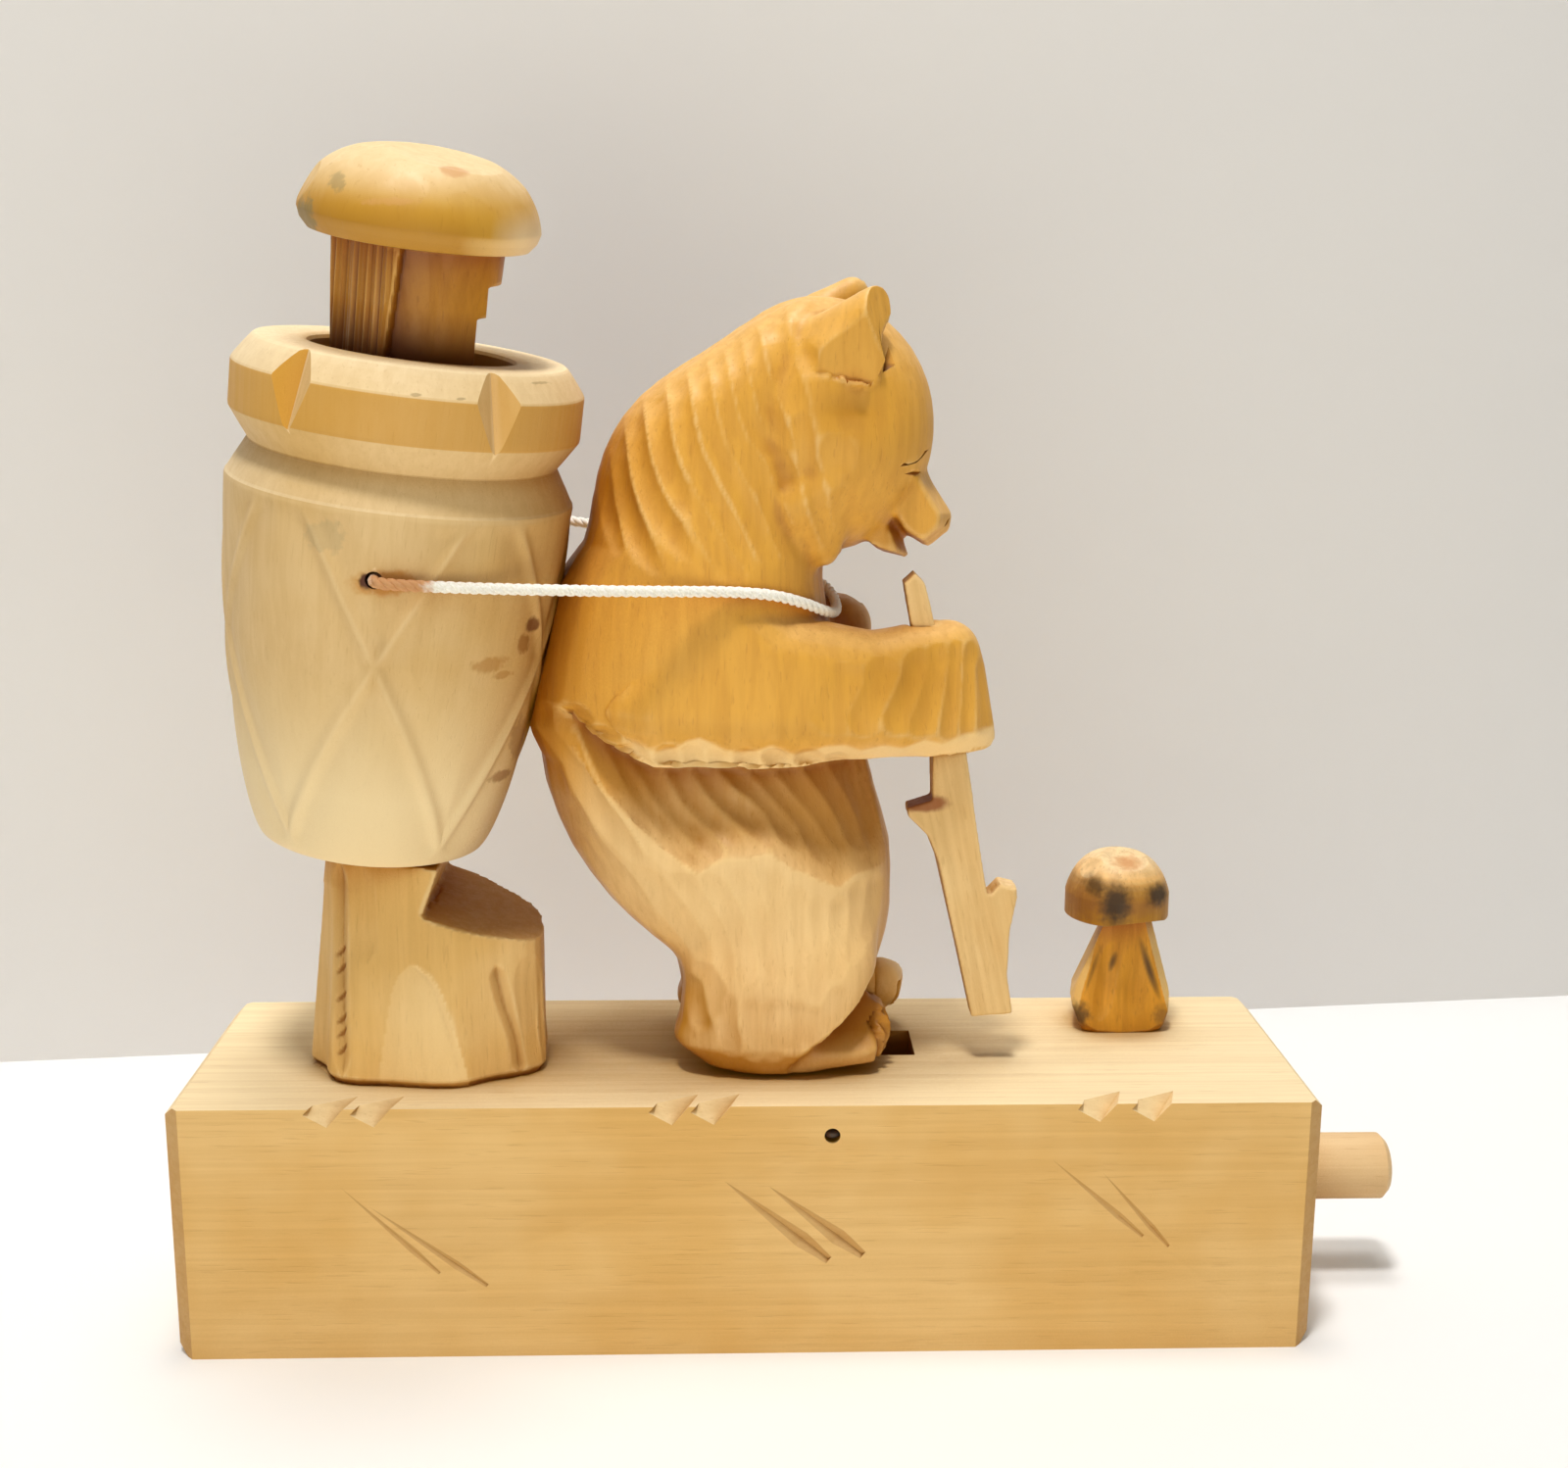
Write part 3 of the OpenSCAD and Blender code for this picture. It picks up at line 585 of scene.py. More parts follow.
BASKET_WOOD = wood(
    "basket_wood", (228, 196, 144), (218, 180, 116), (178, 132, 70), turn=(0, -BASKET_LEAN, 0), along=30,
    across=1400, pore=0.12, streak=0.12, rough=0.6, worn=0.75, deep=0.4, worn_tone=(246, 222, 176),
    deep_tone=(190, 144, 72), upper=((250, 232, 194), 0.8), tints=((244, 220, 174), (214, 156, 54)), reach=0.03,
    spots=[((-52.0, -29.6, 124.2), (6.0, 4, 2.4), (200, 136, 46), 0.75, 0.6),
           ((-54.4, -29.8, 124.4), (1.5, 4, 1.5), (70, 24, 12), 0.95, 0.5),
           ((-38.4, -20.6, 110.9), (3.6, 4, 1.5), (176, 118, 30), 0.55, 1.1),
           ((-36.8, -19.0, 108.9), (2.2, 4, 0.8), (176, 118, 30), 0.5, 1.1),
           ((-34.0, -15.8, 113.2), (1.1, 4, 1.9), (150, 92, 20), 0.7, 0.8),
           ((-32.7, -14.4, 115.8), (1.2, 4, 1.6), (110, 54, 14), 0.85, 0.6),
           ((-36.0, -8.2, 96.6), (1.6, 5, 6.0), (150, 96, 24), 0.45, 1.0),
           ((-38.8, -10.0, 91.4), (2.2, 5, 1.2), (150, 92, 20), 0.65, 0.8),
           ((-60.2, -29.8, 130.8), (3.8, 4, 2.8), (168, 152, 116), 0.3, 1.2),
           ((-46.2, -31.2, 150.6), (0.9, 4, 0.3), (130, 100, 50), 0.45, 1.2),
           ((-40.4, -29.4, 150.0), (0.7, 4, 0.3), (120, 90, 46), 0.45, 1.2),
           ((-30.6, -18.0, 152.0), (1.6, 5, 0.25), (130, 100, 50), 0.4, 1.2)])
STUMP_WOOD = wood(
    "stump_wood", (244, 206, 142), (233, 188, 112), (178, 126, 58), along=40, across=1300, pore=0.16,
    streak=0.14, rough=0.6, worn=0.6, deep=0.5, worn_tone=(246, 216, 162), deep_tone=(176, 120, 46),
    tints=((254, 224, 168), (160, 104, 40)))
MUSHROOM_WOOD = wood(
    "mushroom_wood", (212, 152, 44), (200, 138, 30), (140, 82, 10), along=40, across=900, pore=0.2,
    streak=0.3, rough=0.46, coat=0.08, worn=0.6, deep=0.6, worn_tone=(236, 190, 112), deep_tone=(136, 82, 16),
    tints=((236, 190, 112), (120, 66, 8)))
CAP_WOOD = wood(
    "cap_wood", (216, 168, 66), (204, 152, 50), (176, 122, 30), along=60, across=800, pore=0.16, streak=0.12,
    rough=0.5, coat=0.06, worn=0.5, deep=0.4, worn_tone=(244, 214, 156), upper=((242, 216, 168), 0.85),
    tints=((246, 222, 178), (184, 130, 30)), spots=[((-41.3, -21.9, 181.3), (2.5, 3.6, 1.6), (208, 154, 98), 0.75, 0.35),
           ((-63.0, -18.5, 175.0), (2.8, 8.0, 3.4), (128, 120, 82), 0.65, 1.3),
           ((-57.3, -23.4, 179.4), (1.8, 3.4, 1.7), (140, 126, 86), 0.5, 1.2),
           ((-49.5, -26.0, 176.6), (5.0, 3.4, 0.8), (214, 160, 100), 0.4, 1.0)])
STICK_WOOD = wood(
    "stick_wood", (242, 208, 150), (232, 192, 128), (190, 140, 74), turn=(0, math.radians(12), 0), along=50,
    across=1500, pore=0.22, streak=0.25, rough=0.6, worn=0.6, deep=0.4, upper=((244, 214, 164), 0.5),
    spots=[((27.8, -5.5, 85.9), (5.4, 7, 1.8), (150, 80, 36), 0.88, 0.35)])
DOWEL_WOOD = wood(
    "dowel_wood", (240, 208, 160), (232, 194, 142), (192, 144, 88), turn=(0, math.pi / 2, 0), along=30,
    across=1500, pore=0.2, streak=0.2, rough=0.55, worn=0.5, deep=0.3)
SCORCHED_WOOD = wood(
    "scorched_wood", (232, 168, 44), (222, 152, 26), (128, 72, 10), along=60, across=1000, pore=0.25, streak=0.3,
    rough=0.5, coat=0.04, worn=0.6, deep=0.6, worn_tone=(226, 176, 100), deep_tone=(100, 52, 12),
    upper=((250, 222, 172), 0.92), tints=((244, 206, 132), (56, 32, 6)), soft=0.75,
    spots=[((56.8, 6.6, 65.2), (4.2, 5.4, 4.2), (140, 92, 44), 0.7, 1.0),
           ((64.0, 4.6, 65.4), (11.0, 5.4, 2.6), (150, 100, 48), 0.6, 1.0),
           ((58.6, 6.2, 68.4), (2.2, 4.6, 2.2), (60, 38, 12), 0.8, 0.6),
           ((61.9, 3.8, 65.8), (3.5, 4.6, 4.8), (40, 24, 6), 0.92, 0.6),
           ((69.6, 5.8, 66.8), (3.6, 4.6, 2.6), (40, 26, 8), 0.92, 0.6),
           ((64.6, 7.6, 72.0), (3.2, 4.6, 1.6), (206, 142, 84), 0.8, 0.8),
           ((57.0, 7.0, 45.0), (2.4, 4.6, 3.0), (70, 46, 20), 0.85, 0.9),
           ((71.2, 7.0, 45.0), (2.0, 4.6, 2.6), (96, 64, 28), 0.6, 0.9)])


def make_cord_material():
    material, tree, shader = new_material("cotton_cord")
    place = put(tree, "ShaderNodeTexCoord").outputs["Object"]
    fluff = noise(tree, place, 2600.0, 3.0)
    colour = blend(tree, ramp(tree, fluff, 0.3, 0.75), tone(240, 236, 226), tone(254, 253, 249))
    glue = use(tree, SPOT, Vector=place, Centre=(-0.0500, -0.0310, 0.1242), Size=(0.0062, 0.0045, 0.004), Ragged=0.6,
               Soft=0.45)[0]
    colour = blend(tree, calc(tree, "MULTIPLY", glue, 0.85), colour, tone(196, 128, 44))
    feed(tree, shader, Base_Color=colour, Roughness=0.9, Specular_IOR_Level=0.2, Normal=bump(tree, fluff, 0.4, 0.00006))
    return material


def make_nail_material():
    material, tree, shader = new_material("nail_steel")
    rust = noise(tree, put(tree, "ShaderNodeTexCoord").outputs["Object"], 1800.0, 4.0)
    colour = blend(tree, ramp(tree, rust, 0.4, 0.7), tone(66, 58, 52), tone(92, 62, 40))
    feed(tree, shader, Base_Color=colour, Roughness=ramp(tree, rust, 0.35, 0.7, 0.35, 0.75), Metallic=0.7,
         Normal=bump(tree, rust, 0.5, 0.00008))
    return material


CORD_COTTON = make_cord_material()
NAIL_STEEL = make_nail_material()


# Shoulder cord

STRANDS = 3
# Its middle line in the bear's frame, from hole to hole
CORD_ROUTE = np.array([
    [-66.4, -25, 82.6], [-66.4, -29, 82.6], [-66.4, -32.6, 82.6], [-65.4, -34.2, 82.5], [-63, -34.2, 82.2],
    [-54, -31.3, 81.4],
    [-44, -28, 80.7], [-34, -24.8, 80.1], [-24, -21.6, 79.6], [-16, -19, 79.2], [-9.4, -16.8, 78.4],
    [-4.6, -13.6, 76.8],
    [-1, -9.8, 75], [0.7, -5, 74.2], [1.2, 0, 74.6], [0.6, 4.8, 76], [-1.4, 9.2, 77.4], [-5, 13.7, 79],
    [-10.4, 17.2, 80.5],
    [-17, 19.4, 82], [-25, 20, 83.3], [-34, 20.2, 84.7], [-44, 20.4, 86.2], [-54, 20.6, 87.5], [-62, 21, 88.3],
    [-65, 20.8, 88.5], [-66, 19.4, 88.5], [-66.2, 16.5, 88.5], [-66.2, 13, 88.5]])


def dress(tree, given, out, shape):
    """Ends a geometry tree with a plain mesh that has the material."""
    whole = put(tree, "GeometryNodeRealizeInstances", Geometry=shape).outputs[0]
    feed(tree, out, Geometry=put(tree, "GeometryNodeSetMaterial", Geometry=whole, Material=given["Material"]).outputs[0])
    return tree


def make_cord_tree():
    """Strands laid round a path, as a twisted cord."""
    tree, given, out = new_group(
        "twisted_cord", "GeometryNodeTree",
        {"Path": "Geometry", "Strand Radius": "Float", "Lay Radius": "Float", "Turn Length": "Float", "Step": "Float",
         "Material": "Material"}, {"Geometry": "Geometry"})
    fine = put(tree, "GeometryNodeResampleCurve", {"mode": "LENGTH"}, Curve=given["Path"], Length=given["Step"]).outputs[0]
    run = put(tree, "GeometryNodeSplineParameter").outputs["Length"]
    side = put(tree, "GeometryNodeInputNormal").outputs[0]
    over = vector_calc(tree, "CROSS_PRODUCT", put(tree, "GeometryNodeInputTangent").outputs[0], side)
    turn = calc(tree, "MULTIPLY", calc(tree, "DIVIDE", run, given["Turn Length"]), 2 * math.pi)
    thread = put(tree, "GeometryNodeCurvePrimitiveCircle", Resolution=8, Radius=given["Strand Radius"]).outputs[0]
    joined = put(tree, "GeometryNodeJoinGeometry")
    for strand in range(STRANDS):
        angle = calc(tree, "ADD", turn, strand * 2 * math.pi / STRANDS)
        parts = []
        for axis, wave in ((side, "COSINE"), (over, "SINE")):
            size = calc(tree, "MULTIPLY", calc(tree, wave, angle), given["Lay Radius"])
            parts.append(vector_calc(tree, "SCALE", axis, Scale=size))
        offset = vector_calc(tree, "ADD", *parts)
        laid = put(tree, "GeometryNodeSetPosition", Geometry=fine, Offset=offset).outputs[0]
        yarn = put(tree, "GeometryNodeCurveToMesh", Curve=laid, Profile_Curve=thread, Fill_Caps=True).outputs[0]
        feed(tree, joined, i0=yarn)
    return dress(tree, given, out, joined.outputs[0])


def run_nodes(piece, tree, **values):
    """Runs a geometry tree on a piece with the given inputs, and returns the plain mesh."""
    made = modify(piece, "NODES", node_group=tree)
    for item in tree.interface.items_tree:
        key = item.name.replace(" ", "_")
        if item.in_out == "INPUT" and key in values:
            made[item.identifier] = values[key]
    return take_mesh(piece)


def make_cord():
    path = (smooth_route(CORD_ROUTE, 4) + BEAR) * MM
    line = bpy.data.curves.new("cord_line", "CURVE")
    line.dimensions = "3D"
    spline = line.splines.new("POLY")
    spline.points.add(len(path) - 1)
    spline.points.foreach_set("co", np.hstack([path, np.ones((len(path), 1))]).ravel())
    guide = new_piece("cord_line", line)
    twist = run_nodes(guide, make_cord_tree(), Strand_Radius=0.00047, Lay_Radius=0.00044, Turn_Length=0.0042, Step=0.0005,
                      Material=CORD_COTTON)
    cord = new_piece("shoulder_cord_twist", twist)
    bpy.data.objects.remove(guide)
    cord.data.shade_smooth()
    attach(cord, "bear")
    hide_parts("shoulder_cord")


# Base block

BLOCK_FRONT = -24.0
# Knife slashes on the block's front: ends as x and z, width and depth
BLOCK_SLASHES = [
    ((-64.4, 30), (-48.6, 14.4), 1.1, 0.25), ((-60.2, 26.6), (-41.2, 12.2), 1.4, 0.35),
    ((-4.8, 30.4), (12.6, 16), 2.8, 0.8),
    ((2.2, 29.4), (18, 16.8), 2.8, 0.8), ((46.6, 33.6), (62.4, 19.6), 1.2, 0.3), ((55, 31.2), (66.6, 17.8), 1.1, 0.3)]


def make_base():
    block = node_copy("base_block", "base_block_carved")
    work = bmesh.new()
    work.from_mesh(block.data)
    bmesh.ops.dissolve_limit(work, angle_limit=math.radians(2), verts=work.verts, edges=work.edges)
    work.to_mesh(block.data)
    work.free()
    soft_edges(block, 0.7, 3)
    cutters = []
    for (x, z), (end_x, end_z), width, depth in BLOCK_SLASHES:
        cut = groove((x, BLOCK_FRONT, z), (end_x, BLOCK_FRONT, end_z), (0, -1, 0), width, depth, 0.75, 0.6)
        cutters.append(groove_cutter("block_slash", [cut]))
    cut_out(block, *cutters)
    # The slashes' and nicks' faces inside the box take painted shade from the negative cut value
    finish_piece(block, "base", "base_wood", BLOCK_WOOD, "base_block", crease=10, coarse=True, cut=-0.6)


# Stump

# Strokes on the stump's front, in the front view: width, depth, then places as x and z
STUMP_CUTS = [
    (5.0, 0.8, (-34, 42), (-34.4, 52), (-35.4, 62)), (7.0, 0.4, (-41.5, 40), (-42.4, 50), (-43.4, 58)),
    (8.0, 0.35, (-46, 66), (-44.6, 72)), (5.0, 0.5, (-60.4, 62), (-60.8, 78))]
STUMP_SPLITS = [(3.2, 0.9, (-64.6, 43), (-64.6, 58), (-64.2, 78)),
                (2.8, 0.9, (-39.9, 61.5), (-39, 56), (-38, 52), (-37, 48.5), (-36.4, 42.5))]
STUMP_HATCH = [(0.7, 0.25, (-65.7, z - 1.2), (-64.7, z), (-63.7, z + 1.2))
               for z in (47.6, 50.4, 52.6, 56.2, 60.6, 63.4)]
# Scooped root arch: height, left and right edge
STUMP_ARCH = np.array([
    [42, -58.6, -43.9], [46, -58.2, -44.9], [50, -57.5, -45.9], [54, -56.8, -47], [58.1, -56, -48.3],
    [60.5, -54.8, -49.8], [62.3, -52.8, -52.2]])


def make_stump():
    stump = node_copy("stump", "stump_carved")
    points = even_out(stump, 0.42)
    normals = outward(stump)
    flat = points[:, [0, 2]]
    x, z = flat.T
    facing = np.clip((-normals[:, 1] - 0.15) / 0.3, 0, 1)
    height, left, right = STUMP_ARCH.T
    share = (x - np.interp(z, height, left)) / np.interp(z, height, right - left)
    scooped = ((share > 0) & (share < 1) & (z < height[-1])) * facing
    hatch = line_cuts(flat, STUMP_HATCH) * facing
    splits = line_cuts(flat, STUMP_SPLITS, run_out=0.12, keen=True) * facing
    rim = fade(np.interp(z, height, right) - x, 0, 1.2)
    arch = 0.7 * np.clip(share, 0, 1) ** 1.2 * fade(z, 42.4, 46) * scooped * rim
    cut = np.maximum(line_cuts(flat, STUMP_CUTS) * facing, splits) + hatch + arch
    strokes = []
    for turn in np.linspace(20, 200, 8):
        a = math.radians(turn)
        out = unit((math.cos(a), math.sin(a), 0))
        middle = np.array([-51.2 + 19 * math.cos(a), -3 + 13.5 * math.sin(a), 54])
        strokes.append((middle, unit((0, 0, 1)), out, 38, 8, 0.7))
    # A groove runs round the foot, darkened with painted contact shade
    level = np.hypot(normals[:, 0], normals[:, 1])
    foot_groove_shade = fade(z, 43.2, 42.4) * fade(level, 0.1, 0.3)
    cut = cut + gouge(points, normals, strokes)
    # Painted light pales the scooped arch; painted shade darkens the hatch and split cuts, the sawn face under the
    # basket and the groove round the foot
    sawn_face_shadow = (normals[:, 2] > 0.4) & (z > 60)
    tint = 0.7 * scooped * (0.4 + 0.6 * np.clip(share, 0, 1))
    tint = tint - 3.4 * hatch - 0.35 * splits - 0.25 * sawn_face_shadow - 0.9 * foot_groove_shade
    points = points - normals * cut[:, None]
    points[:, :2] -= normals[:, :2] * (0.8 * foot_groove_shade / np.maximum(level, 0.1))[:, None]
    place_points(stump, points)
    finish_piece(stump, "base", "stump_wood", STUMP_WOOD, "stump", crease=40, tint=tint)


# Basket

BELLY_H = 56.4
BASKET_H = 77.3
RIM_H = 15.4
POCKET_FLOOR = 47.3
RIM_TURNS = (-52, 24.5, 96.5, 168.5, 240.5)


def make_lattice_tree():
    """Raised crossing ribs round a turned belly, each in a shallow trough."""
    numbers = ("Count", "Phase", "Low", "High", "Rib Width", "Rib Height", "Trough Width", "Trough Depth", "Top")
    tree, given, out = new_group(
        "lattice_ribs", "GeometryNodeTree",
        {"Geometry": "Geometry", **{label: "Float" for label in numbers}, "Material": "Material"},
        {"Geometry": "Geometry"})
    spot = put(tree, "GeometryNodeInputPosition").outputs[0]
    x, y, z = put(tree, "ShaderNodeSeparateXYZ", Vector=spot).outputs
    angle = calc(tree, "ARCTAN2", x, calc(tree, "MULTIPLY", y, -1.0))
    part = calc(tree, "MULTIPLY", calc(tree, "SUBTRACT", angle, given["Phase"]),
                calc(tree, "DIVIDE", given["Count"], 2 * math.pi))
    rise = calc(tree, "DIVIDE", calc(tree, "SUBTRACT", z, given["Low"]),
                calc(tree, "SUBTRACT", given["High"], given["Low"]))
    radius = calc(tree, "SQRT", calc(tree, "ADD", calc(tree, "MULTIPLY", x, x), calc(tree, "MULTIPLY", y, y)))
    reach = calc(tree, "DIVIDE", calc(tree, "MULTIPLY", radius, 2 * math.pi * 0.87), given["Count"])
    gaps = []
    for way in ("ADD", "SUBTRACT"):
        wave = calc(tree, "WRAP", calc(tree, way, part, rise), 0.5, -0.5)
        gaps.append(calc(tree, "MULTIPLY", calc(tree, "ABSOLUTE", wave), reach))
    nearest = calc(tree, "MINIMUM", *gaps)

    def bell(width):
        share = calc(tree, "DIVIDE", nearest, width)
        return calc(tree, "EXPONENT", calc(tree, "MULTIPLY", calc(tree, "MULTIPLY", share, share), -1.0))

    rib = calc(tree, "MULTIPLY", bell(given["Rib Width"]), given["Rib Height"])
    lift = calc(tree, "SUBTRACT", rib, calc(tree, "MULTIPLY", bell(given["Trough Width"]), given["Trough Depth"]))
    ends = calc(tree, "MULTIPLY", ramp(tree, rise, -0.04, 0.02),
                ramp(tree, calc(tree, "SUBTRACT", given["Top"], z), 0.0, 0.003))
    away = vector_calc(tree, "NORMALIZE", put(tree, "ShaderNodeCombineXYZ", X=x, Y=y, Z=0.0).outputs[0])
    move = vector_calc(tree, "SCALE", away, Scale=calc(tree, "MULTIPLY", lift, ends))
    moved = put(tree, "GeometryNodeSetPosition", Geometry=given["Geometry"], Offset=move).outputs[0]
    return dress(tree, given, out, moved)


def belly_radius(height):
    """The turned belly's radius at a height over the basket's foot."""
    return 17.4 + 8.9 * np.sin(math.pi / 2 * np.clip(height / BELLY_H, 0, 1)) ** 0.67


def rim_kite(turn):
    """Cutter of one kite-shaped notch: a shallow V whose valley runs from the top's edge to the foot of the band."""
    side = RIM_H * math.tan(math.radians(61))
    plan = [(0, 0), (RIM_H, -side), (RIM_H, side)]
    place = (Matrix.Rotation(turn, 4, "Z") @ Matrix.Translation((22.8, 0, BASKET_H))
             @ Matrix.Rotation(-math.atan(3.1 / 10.8), 4, "Y"))
    points = [(place @ Vector((x, y, z)))[:] for z in (-40, 40) for x, y in plan]
    return from_faces("rim_kite", points, [(2, 1, 0), (3, 4, 5), (0, 1, 4, 3), (1, 2, 5, 4), (2, 0, 3, 5)])


def make_basket():
    rows = [(0, 0), (8, 0), (15.6, 0), (17.0, 0.12), (17.9, 0.5)]
    rows += [(belly_radius(h), h) for h in np.linspace(1.0, BELLY_H - 0.3, 112)]
    # Neck, flare, band, bevel, top and the hollow inside
    rows += [(26.2, 56.6), (25.9, 57.0), (25.0, 58.7), (24.1, 60.3), (23.45, 61.5), (23.24, 61.8), (23.22, 62.0)]
    rows += [(23.4, 62.2), (24.3, 63.5), (25.3, 65.0), (26.1, 66.2), (26.24, 66.45), (26.28, 66.8)]
    rows += [(26.3, 66.9 + 6.0 * t) for t in np.linspace(0, 1, 7)]
    rows += [(26.26, 73.2), (26.1, 73.55), (25.2, 74.8), (24.2, 76.1), (23.5, 76.95), (23.1, 77.22)]
    rows += [(22.6, BASKET_H), (20, BASKET_H), (17.5, BASKET_H), (16.2, 77.25), (15.6, 77.0), (15.3, 76.5), (15.3, 70)]
    rows += [(15.3, 60), (15.3, 48), (15, POCKET_FLOOR), (8, POCKET_FLOOR), (0, POCKET_FLOOR)]
    basket = lathe("basket_turned", rows, 360)
    basket.data = run_nodes(
        basket, make_lattice_tree(), Count=5.0, Phase=math.radians(-31), Low=0.0035, High=0.064, Rib_Width=0.001,
        Rib_Height=0.00064, Trough_Width=0.0042, Trough_Depth=0.00062, Top=0.0563, Material=BASKET_WOOD)
    cut_out(basket, *[rim_kite(math.radians(turn)) for turn in RIM_TURNS])
    to_frame(basket, BASKET_FRAME)
    for end, way in ((0, -1), (-1, 1)):
        hole = lathe("cord_hole", [(0, -0.2), (1.3, -0.2), (1.3, 26), (0, 26)], 20)
        to_frame(hole, Matrix.Translation(CORD_ROUTE[end] + BEAR) @ Matrix.Rotation(-way * math.pi / 2, 4, "X"))
        cut_out(basket, hole)
    # Painted shade makes the notches' sides golden, told by faces that look along the rim and less on the side toward
    # the light; painted light pales the foot, and painted shade makes the band golden
    back = BASKET_FRAME.inverted()
    tint = []
    for face in basket.data.polygons:
        x, y, z = back @ (face.center / MM)
        reach = math.hypot(x, y)
        sideways = (back.to_3x3() @ face.normal).dot(Vector((-y, x, 0)).normalized())
        if z > 62 and reach > 20 and abs(sideways) > 0.25:
            lit = (sideways > 0) != (x < 0)
            tint.append(-0.2 if lit else -0.95 if x < 0 else -0.55)
        else:
            band = 0.7 if 66.4 < z < 73.3 and reach > 26 else 0.0
            tint.append(min(max((34 - z) / 22, 0), 1) - band)
    finish_piece(basket, "bear", "basket_wood", BASKET_WOOD, "basket", crease=24, tint=np.array(tint))


# Mushroom in the basket

GLUE_GAP = 0.04


def make_basket_mushroom():
    tip = math.radians(3.4)
    stem_h, stem_r, cap_r, cap_h, lip = 45.6, 10.4, 17.7, 13.3, 2.6
    seat_h = POCKET_FLOOR + stem_r * math.sin(tip) + GLUE_GAP
    seat = BASKET_FRAME @ Matrix.Translation((0, 0, seat_h)) @ Matrix.Rotation(tip, 4, "X")
    sides = 300
    rows = [(0, stem_h), (4, stem_h)]
    rows += [(stem_r + 2.3 * h / stem_h, h) for h in np.linspace(stem_h, 0, 150)] + [(0, 0)]
    stem = lathe("basket_mushroom_stem_whittled", rows[::-1], sides)
    points = points_of(stem)
    turn = np.degrees(np.arctan2(points[:, 1], points[:, 0]))
    # The round part right of the split slab stands back from it
    edge = -99 + 0.45 * (points[:, 2] - 30)
    back = np.clip((turn - edge) / 1.5, 0, 1) * np.clip((-12 - turn) / 50, 0, 1) * (turn < -10)
    points[:, :2] *= (1 - 1.7 * back / np.maximum(np.hypot(points[:, 0], points[:, 1]), 6))[:, None]
    # Flat slab with saw grooves on the front left
    split = math.radians(-136)
    off = points[:, 0] * math.cos(split) + points[:, 1] * math.sin(split)
    across = -points[:, 0] * math.sin(split) + points[:, 1] * math.cos(split)
    saw = 0.2 * np.sin(across * 3.1) + 0.14 * np.sin(across * 5.3 + 1.3)
    saw = saw - 0.7 * np.exp(-((across + 3.6) / 0.6) ** 2)
    over = np.where(turn < edge, np.maximum(off - (9.9 + saw), 0), 0)
    points[:, 0] -= over * math.cos(split)
    points[:, 1] -= over * math.sin(split)
    # Stepped cuts down the right side
    right = np.array([math.cos(0.15), math.sin(0.15), 0])
    for top, reach in ((40.4, 10.5), (35.9, 9.2)):
        low = points[:, 2] < top
        points[low] = plane_cut(points[low], reach * right, right)
    place_points(stem, points)
    # Painted light on the split slab, painted shade on the round part beside it, and painted shade down the stem where
    # it sinks into the basket
    tint = np.where(over > 0, 0.15, 0) - 0.3 * back * np.clip((-60 - turn) / 30, 0, 1)
    tint = tint - 0.9 * fade(points[:, 2], 37, 30)
    to_frame(stem, seat)
    finish_piece(stem, "bear", "mushroom_wood", MUSHROOM_WOOD, "basket_mushroom_stem", crease=26, tint=tint)

    dome = [(cap_r * math.cos(a) ** 0.72 - 0.02, lip + (cap_h - lip) * math.sin(a) ** 1.08)
            for a in np.linspace(0, math.pi / 2, 64)[1:-1]]
    rows = [(0, 0), (6, 0), (11, 0), (cap_r - lip + 0.6, 0), (cap_r - lip + 0.9, 0.08), (cap_r - 0.45, lip * 0.55),
            (cap_r - 0.12, lip)]
    cap = lathe("basket_mushroom_cap_carved", rows + dome + [(0, cap_h)], sides)
    points, normals = points_of(cap), outward(cap)
    draw = np.random.default_rng(11)
    strokes = []
    for _ in range(60):
        k = draw.integers(len(points))
        if points[k, 2] < 4:
            continue
        out = normals[k]
        run = unit(np.cross(out, draw.normal(size=3)))
        strokes.append((points[k], run, out, draw.uniform(10, 16), draw.uniform(6, 9), draw.uniform(0.06, 0.14)))
    points = points - normals * gouge(points, normals, strokes)[:, None]
    points = plane_cut(points, (-15.9, -4.4, 5.6), (-0.9, -0.25, 0.5))
    points = plane_cut(points, (0, 0, cap_h - 0.5), (0.12, -0.1, 1))
    place_points(cap, soften(points, links_of(cap), 1))
    # Painted light on the lip's right end and painted shade along the rest of the lip
    lip_light_and_shade = (0.9 - 1.75 * fade(points[:, 0], 16, 8)) * fade(points[:, 2], lip + 4.5, lip + 0.5)
    to_frame(cap, seat @ Matrix.Translation((0, 0, stem_h + GLUE_GAP)))
    finish_piece(cap, "bear", "mushroom_wood", CAP_WOOD, "basket_mushroom_cap", crease=32, tint=lip_light_and_shade)


# Ground mushroom

# Scorched lines down the stem's front, in the front view: width, darkness, then places as x and z
STEM_BURNS = [
    (1.6, 0.9, (67.0, 59), (68.4, 54.5), (69.6, 51), (71.0, 47.4)),
    (1.3, 0.8, (63.2, 56.4), (62.7, 54.6), (62.0, 52.4)), (0.9, 0.5, (60.4, 57), (59.0, 52.6), (57.8, 48.6))]
STEM_CUTS = [(3.4, 0.4, (60.4, 44), (61.6, 52), (62.8, 58)), (4.2, 0.25, (66.8, 45), (66, 57))]
